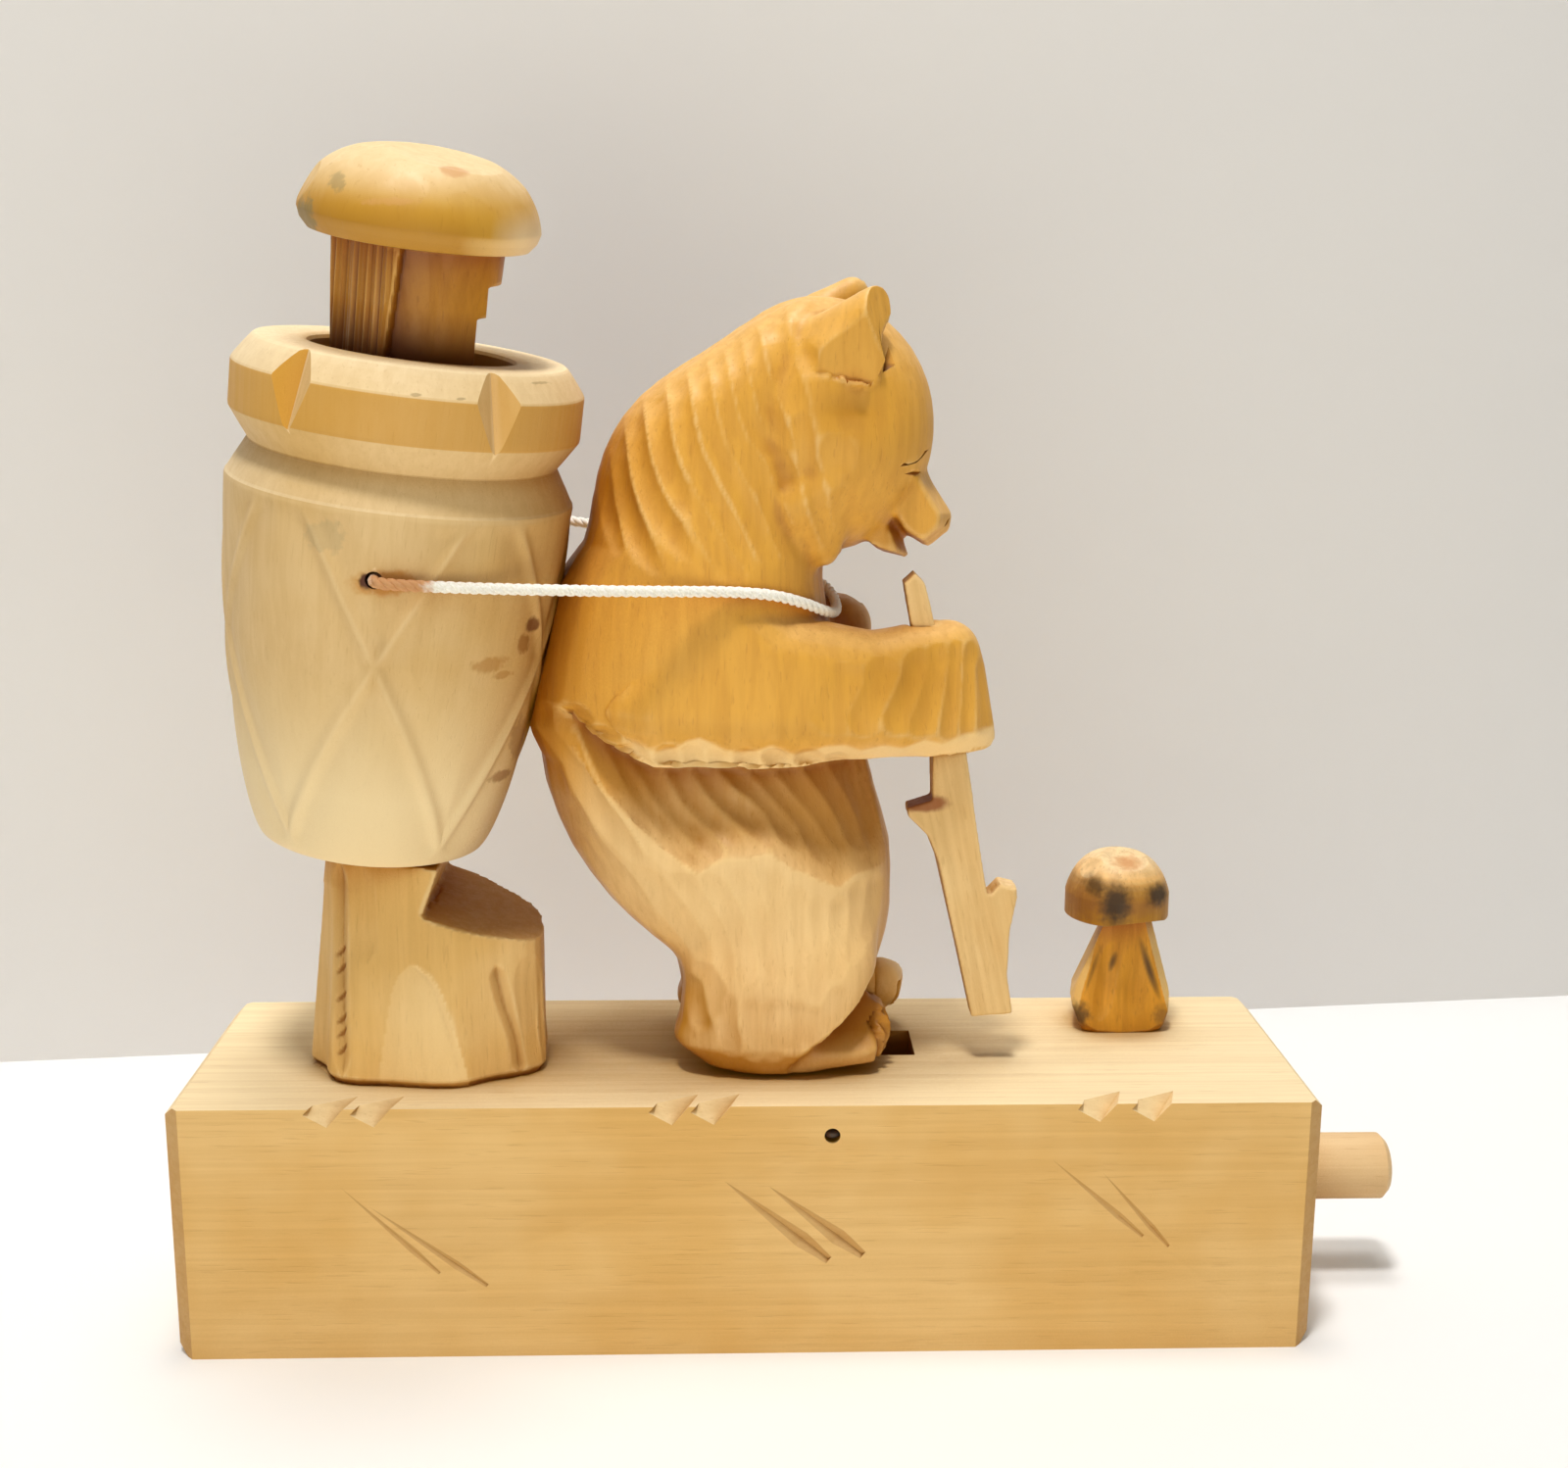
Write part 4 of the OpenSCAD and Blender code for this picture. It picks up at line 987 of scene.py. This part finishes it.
# Flats that the knife left: a place and the outward side
STEM_FLATS = [
    ((55.4, 8, 47.8), (-0.905, 0.2, 0.378)), ((72.9, 8, 48.5), (0.965, 0, 0.262)), ((64, 7.0, 49), (0, -1, 0.1)),
    ((59.2, 6.4, 54), (-0.78, -0.56, 0.26)), ((69, 6.4, 54.5), (0.78, -0.56, 0.27)),
    ((55.4, 8, 47.8), (-0.905, 0.2, -0.377)), ((72.9, 8, 48.5), (0.98, 0, -0.2))]
CAP_FLATS = [
    ((64, 3.2, 62.5), (0.11, -0.339, -1)), ((64, 9, 71.9), (0.06, -0.3, 1)), ((58.2, 8, 70), (-0.7, -0.4, 0.8)),
    ((70.2, 8, 70), (0.75, -0.3, 0.8)), ((64, 18, 68), (0, 1, 0.3))]
CAP_AXIS = np.array([63.7, 12.0])
CAP_RADIUS = 8.8


def make_ground_mushroom():
    stem = node_copy("ground_mushroom_stem", "ground_mushroom_stem_carved")
    points = flatten(even_out(stem, 0.28), STEM_FLATS)
    place_points(stem, points)
    normals = outward(stem)
    flat = points[:, [0, 2]]
    tint = 0.9 * fade(np.abs(normals[:, 0]), 0.42, 0.55) * fade(points[:, 2], 44.5, 47)
    tint = tint - line_cuts(flat, STEM_BURNS, run_out=0.5) * (normals[:, 1] < 0)
    cut = line_cuts(flat, STEM_CUTS) * np.clip(-normals[:, 1], 0, 1)
    place_points(stem, points - normals * cut[:, None])
    finish_piece(stem, "base", "scorched_wood", SCORCHED_WOOD, "ground_mushroom_stem", crease=40, tint=tint)
    cap = node_copy("ground_mushroom_cap", "ground_mushroom_cap_carved")
    points = even_out(cap, 0.28)
    # The cap's side goes straight down to its lower edge
    off = points[:, :2] - CAP_AXIS
    off = off * (1 + 0.16 * fade(points[:, 2], 64.6, 61.8))[:, None]
    reach = np.hypot(*off.T)
    points[:, :2] = CAP_AXIS + off * (np.minimum(reach, CAP_RADIUS) / np.maximum(reach, 0.1))[:, None]
    points = flatten(points, CAP_FLATS)
    band = -0.42 * fade(points[:, 2] + 0.06 * points[:, 0], 73.4, 72.2)
    place_points(cap, points)
    finish_piece(cap, "base", "scorched_wood", SCORCHED_WOOD, "ground_mushroom_cap", crease=40, tint=band)


# Walking stick, button and nail


def make_stick():
    stick = node_copy("walking_stick", "walking_stick_whittled")
    points = even_out(stick, 0.28, 14)
    normals = outward(stick)
    draw = np.random.default_rng(5)
    run = unit((0.24, 0, -1))
    strokes = []
    for _ in range(90):
        k = draw.integers(len(points))
        sizes = draw.uniform(8, 16), draw.uniform(1.6, 2.6), draw.uniform(0.08, 0.2)
        strokes.append((points[k], run, normals[k], *sizes))
    place_points(stick, points - normals * gouge(points, normals, strokes)[:, None])
    finish_piece(stick, "bear", "dowel_wood", STICK_WOOD, "walking_stick", crease=50)


def make_button():
    button = node_copy("push_button", "push_button_dowel")
    soft_edges(button, 0.35, 2)
    finish_piece(button, "button", "dowel_wood", DOWEL_WOOD, "push_button", coarse=True)


def make_nail():
    rows = [(0, 0.5), (0.5, 0.45), (1.0, 0.1), (1.2, -0.4), (1.2, -46), (2.3, -46.2), (2.3, -46.8), (1.9, -47), (0, -47)]
    nail = lathe("pivot_nail_clipped", rows[::-1], 24)
    points = points_of(nail)
    tip = points[:, 2] > -0.5
    points[tip, 1] *= 0.62
    points[tip, 0] *= 1.2
    place_points(nail, points)
    to_frame(nail, Matrix.Translation((13, -23.3, 37)) @ Matrix.Rotation(math.pi / 2, 4, "X"))
    finish_piece(nail, "base", "nail_steel", NAIL_STEEL, "pivot_nail", coarse=True)


# Bear


def lay_strokes(points, normals, guides, seed, tries):
    """Gouge strokes over a surface: run, width, length and depth come from the nearest guides in the side view."""
    draw = np.random.default_rng(seed)
    flat = np.array([g[:2] for g in guides])
    rest = np.array([[math.cos(math.radians(g[2])), math.sin(math.radians(g[2])), *g[3:]] for g in guides])
    strokes, middles = [], []
    for k in draw.integers(len(points), size=tries):
        here, out = points[k], normals[k]
        weight = 1 / (((flat - here[[0, 2]]) ** 2).sum(1) + 4) ** 1.6
        across, up, width, length, deep = weight @ rest / weight.sum()
        if deep < 0.02:
            continue
        run = np.array([across, 0, up])
        run = run - out * (run @ out)
        if np.linalg.norm(run) < 0.25:
            run = np.cross(out, (0, 1, 0))
        run = unit(run)
        if middles:
            off = np.array(middles) - here
            close = np.flatnonzero(np.abs(off).max(1) < length)
            if len(close):
                off = off[close]
                side = np.cross(out, run)
                along, aside, above = np.abs(off @ run), np.abs(off @ side), np.abs(off @ out)
                if ((along < 0.62 * length) & (aside < 0.72 * width) & (above < width * 2)).any():
                    continue
        width *= draw.uniform(0.9, 1.25)
        length *= draw.uniform(0.85, 1.25)
        deep *= draw.uniform(0.75, 1.25)
        middles.append(here)
        strokes.append((here, run, out, length, width * 1.35, deep))
    return strokes


# Places on the bear in its own frame's side view: x, z, slope of the strokes in degrees, width, length, depth
BEAR_GUIDES = [
    (-30, 103, -75, 3.8, 22, 0.4), (-17, 110, -72, 4.2, 16, 0.36), (-6, 118, -70, 4.4, 12, 0.3),
    (6, 116, -70, 5, 10, 0.2),
    (-36, 88, -80, 4.0, 24, 0.36), (-42, 68, -84, 4.4, 24, 0.3), (-44, 48, -84, 4.4, 24, 0.3),
    (-36, 32, -54, 4.0, 20, 0.3),
    (-24, 18, -74, 3.6, 16, 0.25), (12, 104, -80, 9, 14, 0.06), (12, 92, -60, 6, 8, 0.06),
    (2, 82, -84, 3.4, 14, 0.35),
    (0, 70, -84, 4.0, 14, 0.3), (8, 74, -20, 5.0, 12, 0.3), (22, 70, -60, 4, 10, 0.3), (8, 40, -84, 4.2, 18, 0.3),
    (8, 26, -84, 3.6, 18, 0.25), (6, 6, -20, 3.5, 8, 0.1)]
# Gouge strokes on the bear's sides, in the same view: width, depth, then places as x and z
NAPE_CUTS = [
    (2.4, .35, (-35.3, 97.3), (-34.4, 90.4), (-32.5, 83.7)),
    (3, .5, (-33.5, 101.2), (-32.4, 93.6), (-29.6, 86.3), (-26, 81.2)),
    (3.4, .55, (-30.8, 104.1), (-29.3, 97.3), (-26.2, 90.4), (-21.4, 83.3)),
    (3.6, .6, (-27.2, 106.8), (-26, 99.4), (-22.9, 92.8), (-19.6, 89.6)),
    (3.2, .35, (-18.4, 87.6), (-15.6, 82.5), (-13.6, 79.7)),
    (3.6, .55, (-23.7, 108.1), (-22.2, 101), (-19.1, 94), (-15.6, 88), (-12.5, 81.4)),
    (3.6, .5, (-19.6, 106.9), (-18.2, 101), (-16.1, 97), (-13, 91), (-8.9, 82.2)),
    (3.6, .5, (-16.6, 107.9), (-15, 102.5), (-11.9, 98.4)),
    (4.2, .35, (-13.6, 98), (-11, 94.5), (-8, 92.8)),
    (3.8, .5, (-14, 109.4), (-12.4, 104), (-9.4, 100.2), (-5.7, 96.5)),
    (3.8, .45, (-11, 109), (-9, 103), (-5.4, 98.5)), (3.6, .35, (-10.5, 94), (-8.4, 88.8), (-5.8, 83.5)),
    (3.6, .4, (-7.4, 95.9), (-5.4, 90.5), (-2.6, 84.4)), (3, .4, (-3.9, 96.5), (-2.8, 91.5), (-1.1, 85.5)),
    (4, .4, (-8.5, 113.9), (-7, 108), (-4.5, 103.1))]
HEAD_CUTS = [
    (4, .3, (-17.6, 113.8), (-15.6, 109.9)), (4, .3, (-13.5, 116.8), (-12, 112.4)),
    (4, .35, (-9.4, 119.3), (-8.2, 114.9)), (4, .3, (-5.4, 120.4), (-4.7, 116.4)),
    (3.6, .4, (-5.4, 115.4), (-3.7, 111)),
    (4.5, .7, (-3, 101.1), (-.4, 99.6), (3.2, 98.5)),
    (3, .4, (-2.4, 96.5), (1.2, 96.5)), (5, .3, (-.3, 94), (3.1, 89.6)), (5, .2, (3.8, 96.5), (7.2, 91.6)),
    (5, .4, (1, 119.9), (4.4, 115.5)), (4, .35, (-1.5, 112.5), (2.5, 110.5))]
ARM_CUTS = [
    (4.5, .4, (8.3, 68.7), (6.6, 63.2), (3, 57.1)), (4.5, .5, (14.2, 69.9), (13.1, 64.9), (8.8, 56.9)),
    (4.5, .5, (17.2, 70.3), (15.8, 64.8), (13.2, 55.9)), (3, .45, (19.4, 70.7), (19.2, 63.5), (18.3, 54.7)),
    (2.6, .45, (21.8, 70.5), (21.7, 63.3), (21.4, 54.6)), (2.6, .4, (24, 67.8), (24.3, 61.9), (24.4, 55)),
    (5, .3, (3, 67.9), (1.4, 63.4), (-1.2, 57.3))]
HOLLOW_CUTS = [
    (3.4, .5, (-41, 55.2), (-37.7, 47.1), (-33.7, 41.1), (-29.6, 36.1)),
    (3.6, .6, (-37.1, 55.8), (-33.9, 48.9), (-29.9, 43.2), (-25.9, 38.2), (-22.7, 33.9)),
    (3.4, .6, (-33.4, 53.2), (-29.4, 46.3), (-25, 40.9), (-21, 35.7)),
    (3.4, .7, (-29.4, 51.4), (-25.8, 46), (-21.8, 41.8), (-16.9, 36.7)),
    (3.6, .8, (-24.1, 50.7), (-21.7, 46.1), (-17.7, 42.3), (-14.5, 39.3)),
    (3.6, .8, (-20.1, 50.7), (-16.9, 46.5), (-12.4, 43.5), (-8.7, 39.1)),
    (3.6, .7, (-15.7, 50.7), (-11.6, 47.2), (-7.9, 43.2), (-3.8, 37.9)),
    (3.6, .7, (-11.6, 50.5), (-7.1, 45.7), (-3, 41.1), (.4, 34.8)),
    (3.6, .6, (-7.2, 50.2), (-2.6, 44.4), (2.1, 37.1)), (3.4, .5, (-2.2, 50.1), (2.1, 43.7), (5.7, 36.4)),
    (3.2, .4, (2.1, 48.9), (5.7, 41.6), (7.5, 35.8))]
LEG_CUTS = [
    (3.2, .3, (-42.6, 47.4), (-39.3, 39.9), (-34, 33.4), (-28.6, 27.5)),
    (3, .3, (-43.8, 51.5), (-42.3, 43.8), (-38.2, 36.3), (-33.2, 30.5), (-27.8, 24.9)),
    (3.2, .3, (-30.1, 35.1), (-25.2, 29), (-21.1, 23.6), (-18.6, 19.6)),
    (3.2, .3, (-25.1, 35.5), (-20.6, 29.4), (-17.4, 22.9), (-16.1, 17.3)),
    (3.2, .3, (-20.2, 34.9), (-16.1, 28.6), (-13.6, 22.1), (-12.8, 15.4)),
    (3.2, .3, (-15.3, 35.8), (-12, 29.5), (-10.3, 22.2), (-9.5, 15.4)),
    (3.2, .28, (-10.4, 35.7), (-8.3, 29.4), (-7.4, 22.1), (-7, 15.4)),
    (3, .28, (-6.2, 32.9), (-4.9, 27.5), (-4.5, 21.4), (-4.9, 14.9)),
    (3, .28, (-2.5, 30.8), (-1.5, 24.9), (-2, 18.9), (-2.8, 13.5)), (3, .3, (1.4, 30.3), (1.4, 23.5), (.1, 17.1)),
    (3, .3, (4.8, 32.3), (4.5, 25.2), (3, 19.6)), (2.6, .3, (7.5, 32.4), (6.7, 26.4), (5.5, 22.2)),
    (3, .25, (-21.1, 19.9), (-18.6, 16.1), (-17.8, 10.5)),
    (2.6, .3, (-22, 17.4), (-21.2, 12.7), (-20.4, 8)), (3, .22, (-17, 15.4), (-16.1, 9.7), (-15.3, 4)),
    (3, .22, (-12.8, 14.5), (-12.4, 9), (-11.9, 3.4)),
    (3, .22, (-9, 14.5), (-8.8, 9), (-9, 3.4)), (3, .22, (-5.7, 14), (-5.8, 9), (-6.4, 4.3)),
    (3, .22, (-2.3, 13.1), (-3.1, 8.9), (-4.3, 5.7)),
    (3, .22, (1.4, 16.2), (.6, 12.5), (-1, 8.4))]
# Lines on the bear in the same view, as x and z: the arm's scalloped edge and its lower line, the thigh's crest
ARM_EDGE = np.array([
    [-40, 60.6], [-37.7, 59.4], [-34.6, 56.9], [-31.4, 54.6], [-28.5, 52.9], [-26.9, 52.1], [-24.5, 52.6],
    [-22.5, 54], [-20.5, 54.5],
    [-18.5, 53.6], [-16.5, 52.4], [-13.7, 51.9], [-11.6, 52.4], [-9.6, 53.3], [-8, 52.6], [-5.9, 51.4], [-3.9, 51.7],
    [-1.4, 52.8], [1.9, 52.9], [4.5, 51.8], [8, 52.6], [11, 51.9], [14.5, 53.2], [17.5, 52.2], [20.5, 53.4],
    [26, 54]])
ARM_LINE = np.array([
    [-40, 59.7], [-37.7, 58.5], [-34.6, 56], [-31.4, 53.7], [-28.5, 52], [-26.9, 51.3], [-20, 51.5], [-10, 51.1],
    [0, 51.1], [10, 51.3], [26, 53]])
THIGH_CREST = np.array([
    [-45.2, 54.4], [-40.1, 54.1], [-36.9, 48.6], [-33.2, 45.5], [-29.5, 41.5], [-25.9, 38.2], [-21, 34.8],
    [-16.9, 37.6],
    [-12.8, 37.5], [-9.6, 38.2], [-6.3, 35.5], [-2.9, 33.9], [1.3, 31.6], [3.9, 33.3], [8.5, 33.7], [12, 34]])
# Flats of the near ear: a place and the outward side
EAR_FACETS = [
    ((6, -13.6, 116), (0.09, -0.99, -0.11)), ((6.6, -13.2, 116), (0.72, -0.66, 0.2)),
    ((2.5, -13.4, 122.6), (-0.3, -0.5, 0.8))]
# The bare foot's upper edge as x and z, and the middles that the toes spread from as x and y
FOOT_EDGE = np.array([[-6.3, 2.2], [-2.5, 5.6], [-.2, 7.7], [3.4, 11.1], [4.7, 12.5], [7, 16]])
TOES = ((6.0, -9.2), (9.6, 9.2))


def arm_and_foot(own, normals):
    """Shares of the under-arm hollow, the arm's lower band and the bare foot at each place of the bear."""
    x, y, z = own.T
    flank = fade(np.abs(normals[:, 1]), 0.15, 0.55)
    edge = np.interp(x, *ARM_LINE.T)
    scallop = np.interp(x, *ARM_EDGE.T) + 1.9
    crest = np.interp(x, *THIGH_CREST.T)
    hollow = np.where((z < edge) & (z > crest), fade(z, crest, np.maximum(edge, crest + 1)), 0)
    hollow = hollow * fade(x, -41, -31) * fade(x, 10, 7) * flank
    band = np.where(z >= edge, fade(z, scallop + 0.8, scallop - 0.8), 0) * fade(x, -33, -27) * flank * (z < 60)
    foot = ((x > np.interp(z, FOOT_EDGE[:, 1], FOOT_EDGE[:, 0])) & (z < 15.8) & (x > -6.5)).astype(float)
    return hollow, band, foot


# Knife grooves of the bear's face: ends, outward side, width, depth
FACE_GROOVES = [
    ((9.7, -11.6, 97.2), (15.4, -4.8, 99.8), (0.75, -0.66, 0), 1.1, 0.9),
    ((17.6, -4.6, 87.0), (19.9, -0.6, 89.2), (0.8, -0.6, 0), 1.0, 0.8),
    ((8.6, -5.6, 89.6), (12.4, -3.2, 84.8), (0.3, -0.95, 0), 0.7, 0.9),
    ((5.6, -12.4, 108.6), (9.8, -8.4, 117.0), (0.85, -0.5, 0), 1.6, 2.4)]
UNDER_EYE = ((10.6, -10.4, 96.2), (14.9, -5.2, 96.2), (0.75, -0.66, -0.1), 0.9, 0.7)


def face_cutter(name, rows):
    """One cutter of grooves on both sides of the face."""
    cuts = []
    for start, end, out, width, depth in rows:
        for side in (1, -1):
            flip = np.array([1, side, 1])
            place = BEAR + (np.array([-2.5, 0, 2]) if side < 0 and start[2] > 105 else 0)
            ends = [np.array(at) * flip + place for at in (start, end)]
            cuts.append(groove(*ends, np.array(out) * flip, width, depth))
    return groove_cutter(name, cuts)


def close_to_basket(points, normals):
    """The bear's back laid against the basket where they touch."""
    back = np.array(BASKET_FRAME.inverted())
    turned = points @ back[:3, :3].T + back[:3, 3]
    off = np.hypot(turned[:, 0], turned[:, 1])
    z = points[:, 2]
    near = fade(z, 93, 98) * fade(z, 127, 121) * fade(-normals[:, 0], 0.25, 0.6)
    push = np.clip(off - belly_radius(turned[:, 2]) - 0.1, 0, 2.4) * near / np.maximum(off, 1)
    turned[:, :2] -= turned[:, :2] * push[:, None]
    return (turned - back[:3, 3]) @ back[:3, :3]


def make_bear():
    bear = node_copy("bear_carving", "bear_carved")
    points = even_out(bear, 0.5)
    pairs = links_of(bear)
    x, y, z = (points - BEAR).T
    # The ankles are evened out
    joint = np.exp(-((z - 20) / 6) ** 2) * fade(x, -30, -24) * fade(x, 11, 7) * fade(np.abs(y), 6, 9)
    for _ in range(160):
        points = points + 0.6 * joint[:, None] * (neighbour_mean(points, pairs) - points)
    # The forearm hangs a little lower
    points[:, 2] -= 1.9 * fade(x, 9, 20) * fade(z, 66, 57) * (z > 47)
    place_points(bear, points)
    normals = outward(bear)
    own = points - BEAR
    x, y, z = own.T
    hollow, band, foot = arm_and_foot(own, normals)
    over = np.maximum(np.abs(y) - (15 - 0.95 * np.maximum(z - 4, 0)), 0) * foot
    points[:, 1] -= np.sign(y) * (5.4 * hollow ** 0.8 + 0.9 * band + over)
    points[:, 1] += np.sign(y) * 2.4 * fade(z, 36, 10) * fade(z, -1, 5) * fade(np.abs(y), 6, 10) * (1 - foot)
    # The heel flares out
    points[:, 0] -= 1.5 * np.exp(-((z - 5) / 2.6) ** 2) * fade(x, -16, -21) * fade(-normals[:, 0], 0.1, 0.5)
    place_points(bear, points)
    points = even_out(bear, 0.555)
    normals = outward(bear)
    own = points - BEAR
    sides = fade(np.abs(normals[:, 1]), 0.2, 0.5)
    strokes = lay_strokes(own, normals, BEAR_GUIDES, 3, 16000)
    cut = np.zeros(len(own))
    for lines, widen, deepen, run_out, lead in (
            (NAPE_CUTS, 1.4, 1.7, 0.3, 8), (HEAD_CUTS, 1.5, 1.7, 0.5, 0), (ARM_CUTS, 1.4, 1.7, 0.2, 0),
            (HOLLOW_CUTS, 1.4, 1.5, 0.35, 3), (LEG_CUTS, 1.4, 1.7, 0.2, 0)):
        cut = np.maximum(cut, line_cuts(own[:, [0, 2]], lines, widen, deepen, run_out, lead=lead))
    cut = gouge(own, normals, strokes) * (1 - sides) + cut * sides
    x, y, z = own.T
    ear_foot = 109.6 + 0.22 * np.maximum(5 - x, 0) + 0.35 * np.maximum(x - 5, 0)
    cut = cut + 1.5 * np.exp(-((x - 2.5) / 5) ** 2 - ((z - 106) / 3.6) ** 2) * (z < ear_foot) * (np.abs(y) > 6)
    points = points - normals * cut[:, None]
    ear = (x > -4) & (z > ear_foot) & (y < -8)
    for at, out in EAR_FACETS:
        points[ear] = plane_cut(points[ear], BEAR + at, out)
    # The toes are parted by notches
    foot = arm_and_foot(own, normals)[2]
    for toe_x, toe_y in TOES:
        off_x, off_y = x - toe_x, y - toe_y
        turn = np.degrees(np.arctan2(off_y * np.sign(toe_y), off_x))
        reach = np.hypot(off_x, off_y)
        at_front = (reach > 2) & (reach < 9) & (z < 9.5) & (foot > 0)
        for notch in (-58, -28, 2, 32, 58):
            deep = 1.7 * np.clip(1 - np.abs(np.radians(turn - notch)) * reach / 1.1, 0, 1) * at_front
            points[:, 0] -= deep * off_x / np.maximum(reach, 1)
            points[:, 1] -= deep * off_y / np.maximum(reach, 1)
    place_points(bear, close_to_basket(points, normals))
    cut_out(bear, face_cutter("face_groove", FACE_GROOVES), face_cutter("under_eye", [UNDER_EYE]))
    normals = outward(bear)
    own = points_of(bear) - BEAR
    hollow, band, foot = arm_and_foot(own, normals)
    x, y, z = own.T
    # Painted tints: shade on the heel and low undersides, under the ear, in the under-arm hollow and on the near foot;
    # light on the arm's lower band, the thigh below its crest and the far foot; and a darker patch on the arm
    heel_shade = fade(-normals[:, 0], 0.1, 0.75) * fade(z, 24, 14) * (x < -6)
    heel_shade = np.maximum(heel_shade, fade(-normals[:, 2], 0, 0.5) * fade(z, 9, 5)) * (1 - foot)
    on_arm = np.exp(-((x - 11) / 7) ** 2 - ((z - 65) / 6) ** 2) * (y < -6)
    under_ear_shade = np.exp(-((x - 2.5) / 5) ** 2 - ((z - 105.6) / 4) ** 2) * (np.abs(y) > 6) * (z < 110.4)
    crest = np.interp(x, *THIGH_CREST.T)
    thigh_light = np.where(z < crest, fade(z, crest - 26, crest - 8), 0)
    thigh_light = thigh_light * fade(x, -42, -37) * fade(np.abs(y), 5, 8) * (1 - foot)
    tint = 0.85 * fade(band, 0.05, 0.45) - 0.6 * fade(hollow, 0.02, 0.3) + 0.55 * thigh_light - 0.9 * heel_shade - 0.6 * under_ear_shade
    tint = tint - 0.5 * on_arm * (z > 57) + foot * np.where(y < 0, -0.35 - 0.6 * fade(z, 3, 7), 0.7)
    finish_piece(bear, "bear", "bear_wood", BEAR_WOOD, "bear_carving", crease=60, tint=tint)


set_camera(at=(-3.32, -296.45, 158.82), yaw=0.031, pitch=-0.209, roll=0.005, lens=43.08)
make_cord()
make_base()
make_stump()
make_basket()
make_basket_mushroom()
make_ground_mushroom()
make_stick()
make_button()
make_nail()
make_bear()


# CAD nodes that stay as they are

for name, material in (("bear_lever", BLOCK_WOOD), ("stop_nail", NAIL_STEEL), ("back_dowel", BEAR_WOOD),
                       ("stump_dowel", DOWEL_WOOD)):
    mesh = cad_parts[name].data
    mesh.materials.clear()
    mesh.materials.append(material)


# Stage


def stage_sheet(name, corners, material):
    """A flat sheet with its corners in metres."""
    sheet = from_faces(name, [[c / MM for c in corner] for corner in corners], [(0, 1, 2, 3)])
    sheet.data.materials.append(material)


def make_stage_material(name, colour, glow, one_sided=False):
    """Matt stage paint that keeps shadows; glow lifts it for the camera and for reflections only."""
    material, tree, shader = new_material(name)
    feed(tree, shader, Base_Color=colour, Roughness=1.0, Specular_IOR_Level=0.0, Emission_Color=colour,
         Emission_Strength=calc(tree, "MULTIPLY", seen_ray(tree), glow))
    if one_sided:
        back = put(tree, "ShaderNodeNewGeometry").outputs["Backfacing"]
        clear = put(tree, "ShaderNodeBsdfTransparent").outputs[0]
        mixed = put(tree, "ShaderNodeMixShader", i0=back, i1=shader.outputs[0], i2=clear).outputs[0]
        feed(tree, next(n for n in tree.nodes if n.type == "OUTPUT_MATERIAL"), Surface=mixed)
    return material


stage_sheet("floor", [(-2, -2, 0), (2, -2, 0), (2, 2, 0), (-2, 2, 0)],
            make_stage_material("floor_paint", tone(240, 240, 239), 0.08))
# The wall's foot goes through these two places and on to both sides
WALL_A, WALL_B = Vector((-0.1654, 0.1016, 0)), Vector((0.2043, 0.1385, 0))
WALL_RUN = (WALL_B - WALL_A).normalized() * 2
LEFT, RIGHT, TOP = WALL_A - WALL_RUN, WALL_B + WALL_RUN, Vector((0, 0, 0.34))
stage_sheet("wall", [LEFT, RIGHT, RIGHT + TOP, LEFT + TOP],
            make_stage_material("wall_paint", tone(238, 236, 235), 0.0, one_sided=True))


def make_room(level, backdrop):
    """Even room light; the camera and reflections see a paler backdrop."""
    world = bpy.data.worlds.new("room")
    scene.world = world
    world.use_nodes = True
    tree = world.node_tree
    strength = calc(tree, "MULTIPLY_ADD", seen_ray(tree), backdrop - level, level)
    feed(tree, tree.nodes["Background"], Color=(1.0, 0.985, 0.96, 1), Strength=strength)


# Name, place, aim, size in metres, power in watts, colour
LAMPS = [
    ("ceiling_lamp", (-0.08, -0.24, 1.05), (0, 0, 0.08), 0.14, 6.2, (1.0, 0.985, 0.965)),
    ("back_lamp", (0.0, 0.05, 1.1), (0, 0, 0.08), 0.26, 3.6, (1.0, 0.985, 0.965)),
    ("table_light", (0, -0.28, 0.006), (0, -0.12, 0.2), 0.44, 1.05, (1.0, 0.94, 0.68)),
    ("front_light", (-0.5, -1.1, 0.4), (0, 0, 0.08), 1.0, 0.8, (1.0, 0.96, 0.84))]

make_room(level=0.12, backdrop=0.8)
for lamp in LAMPS:
    add_lamp(*lamp)
scene.view_settings.view_transform = "Standard"
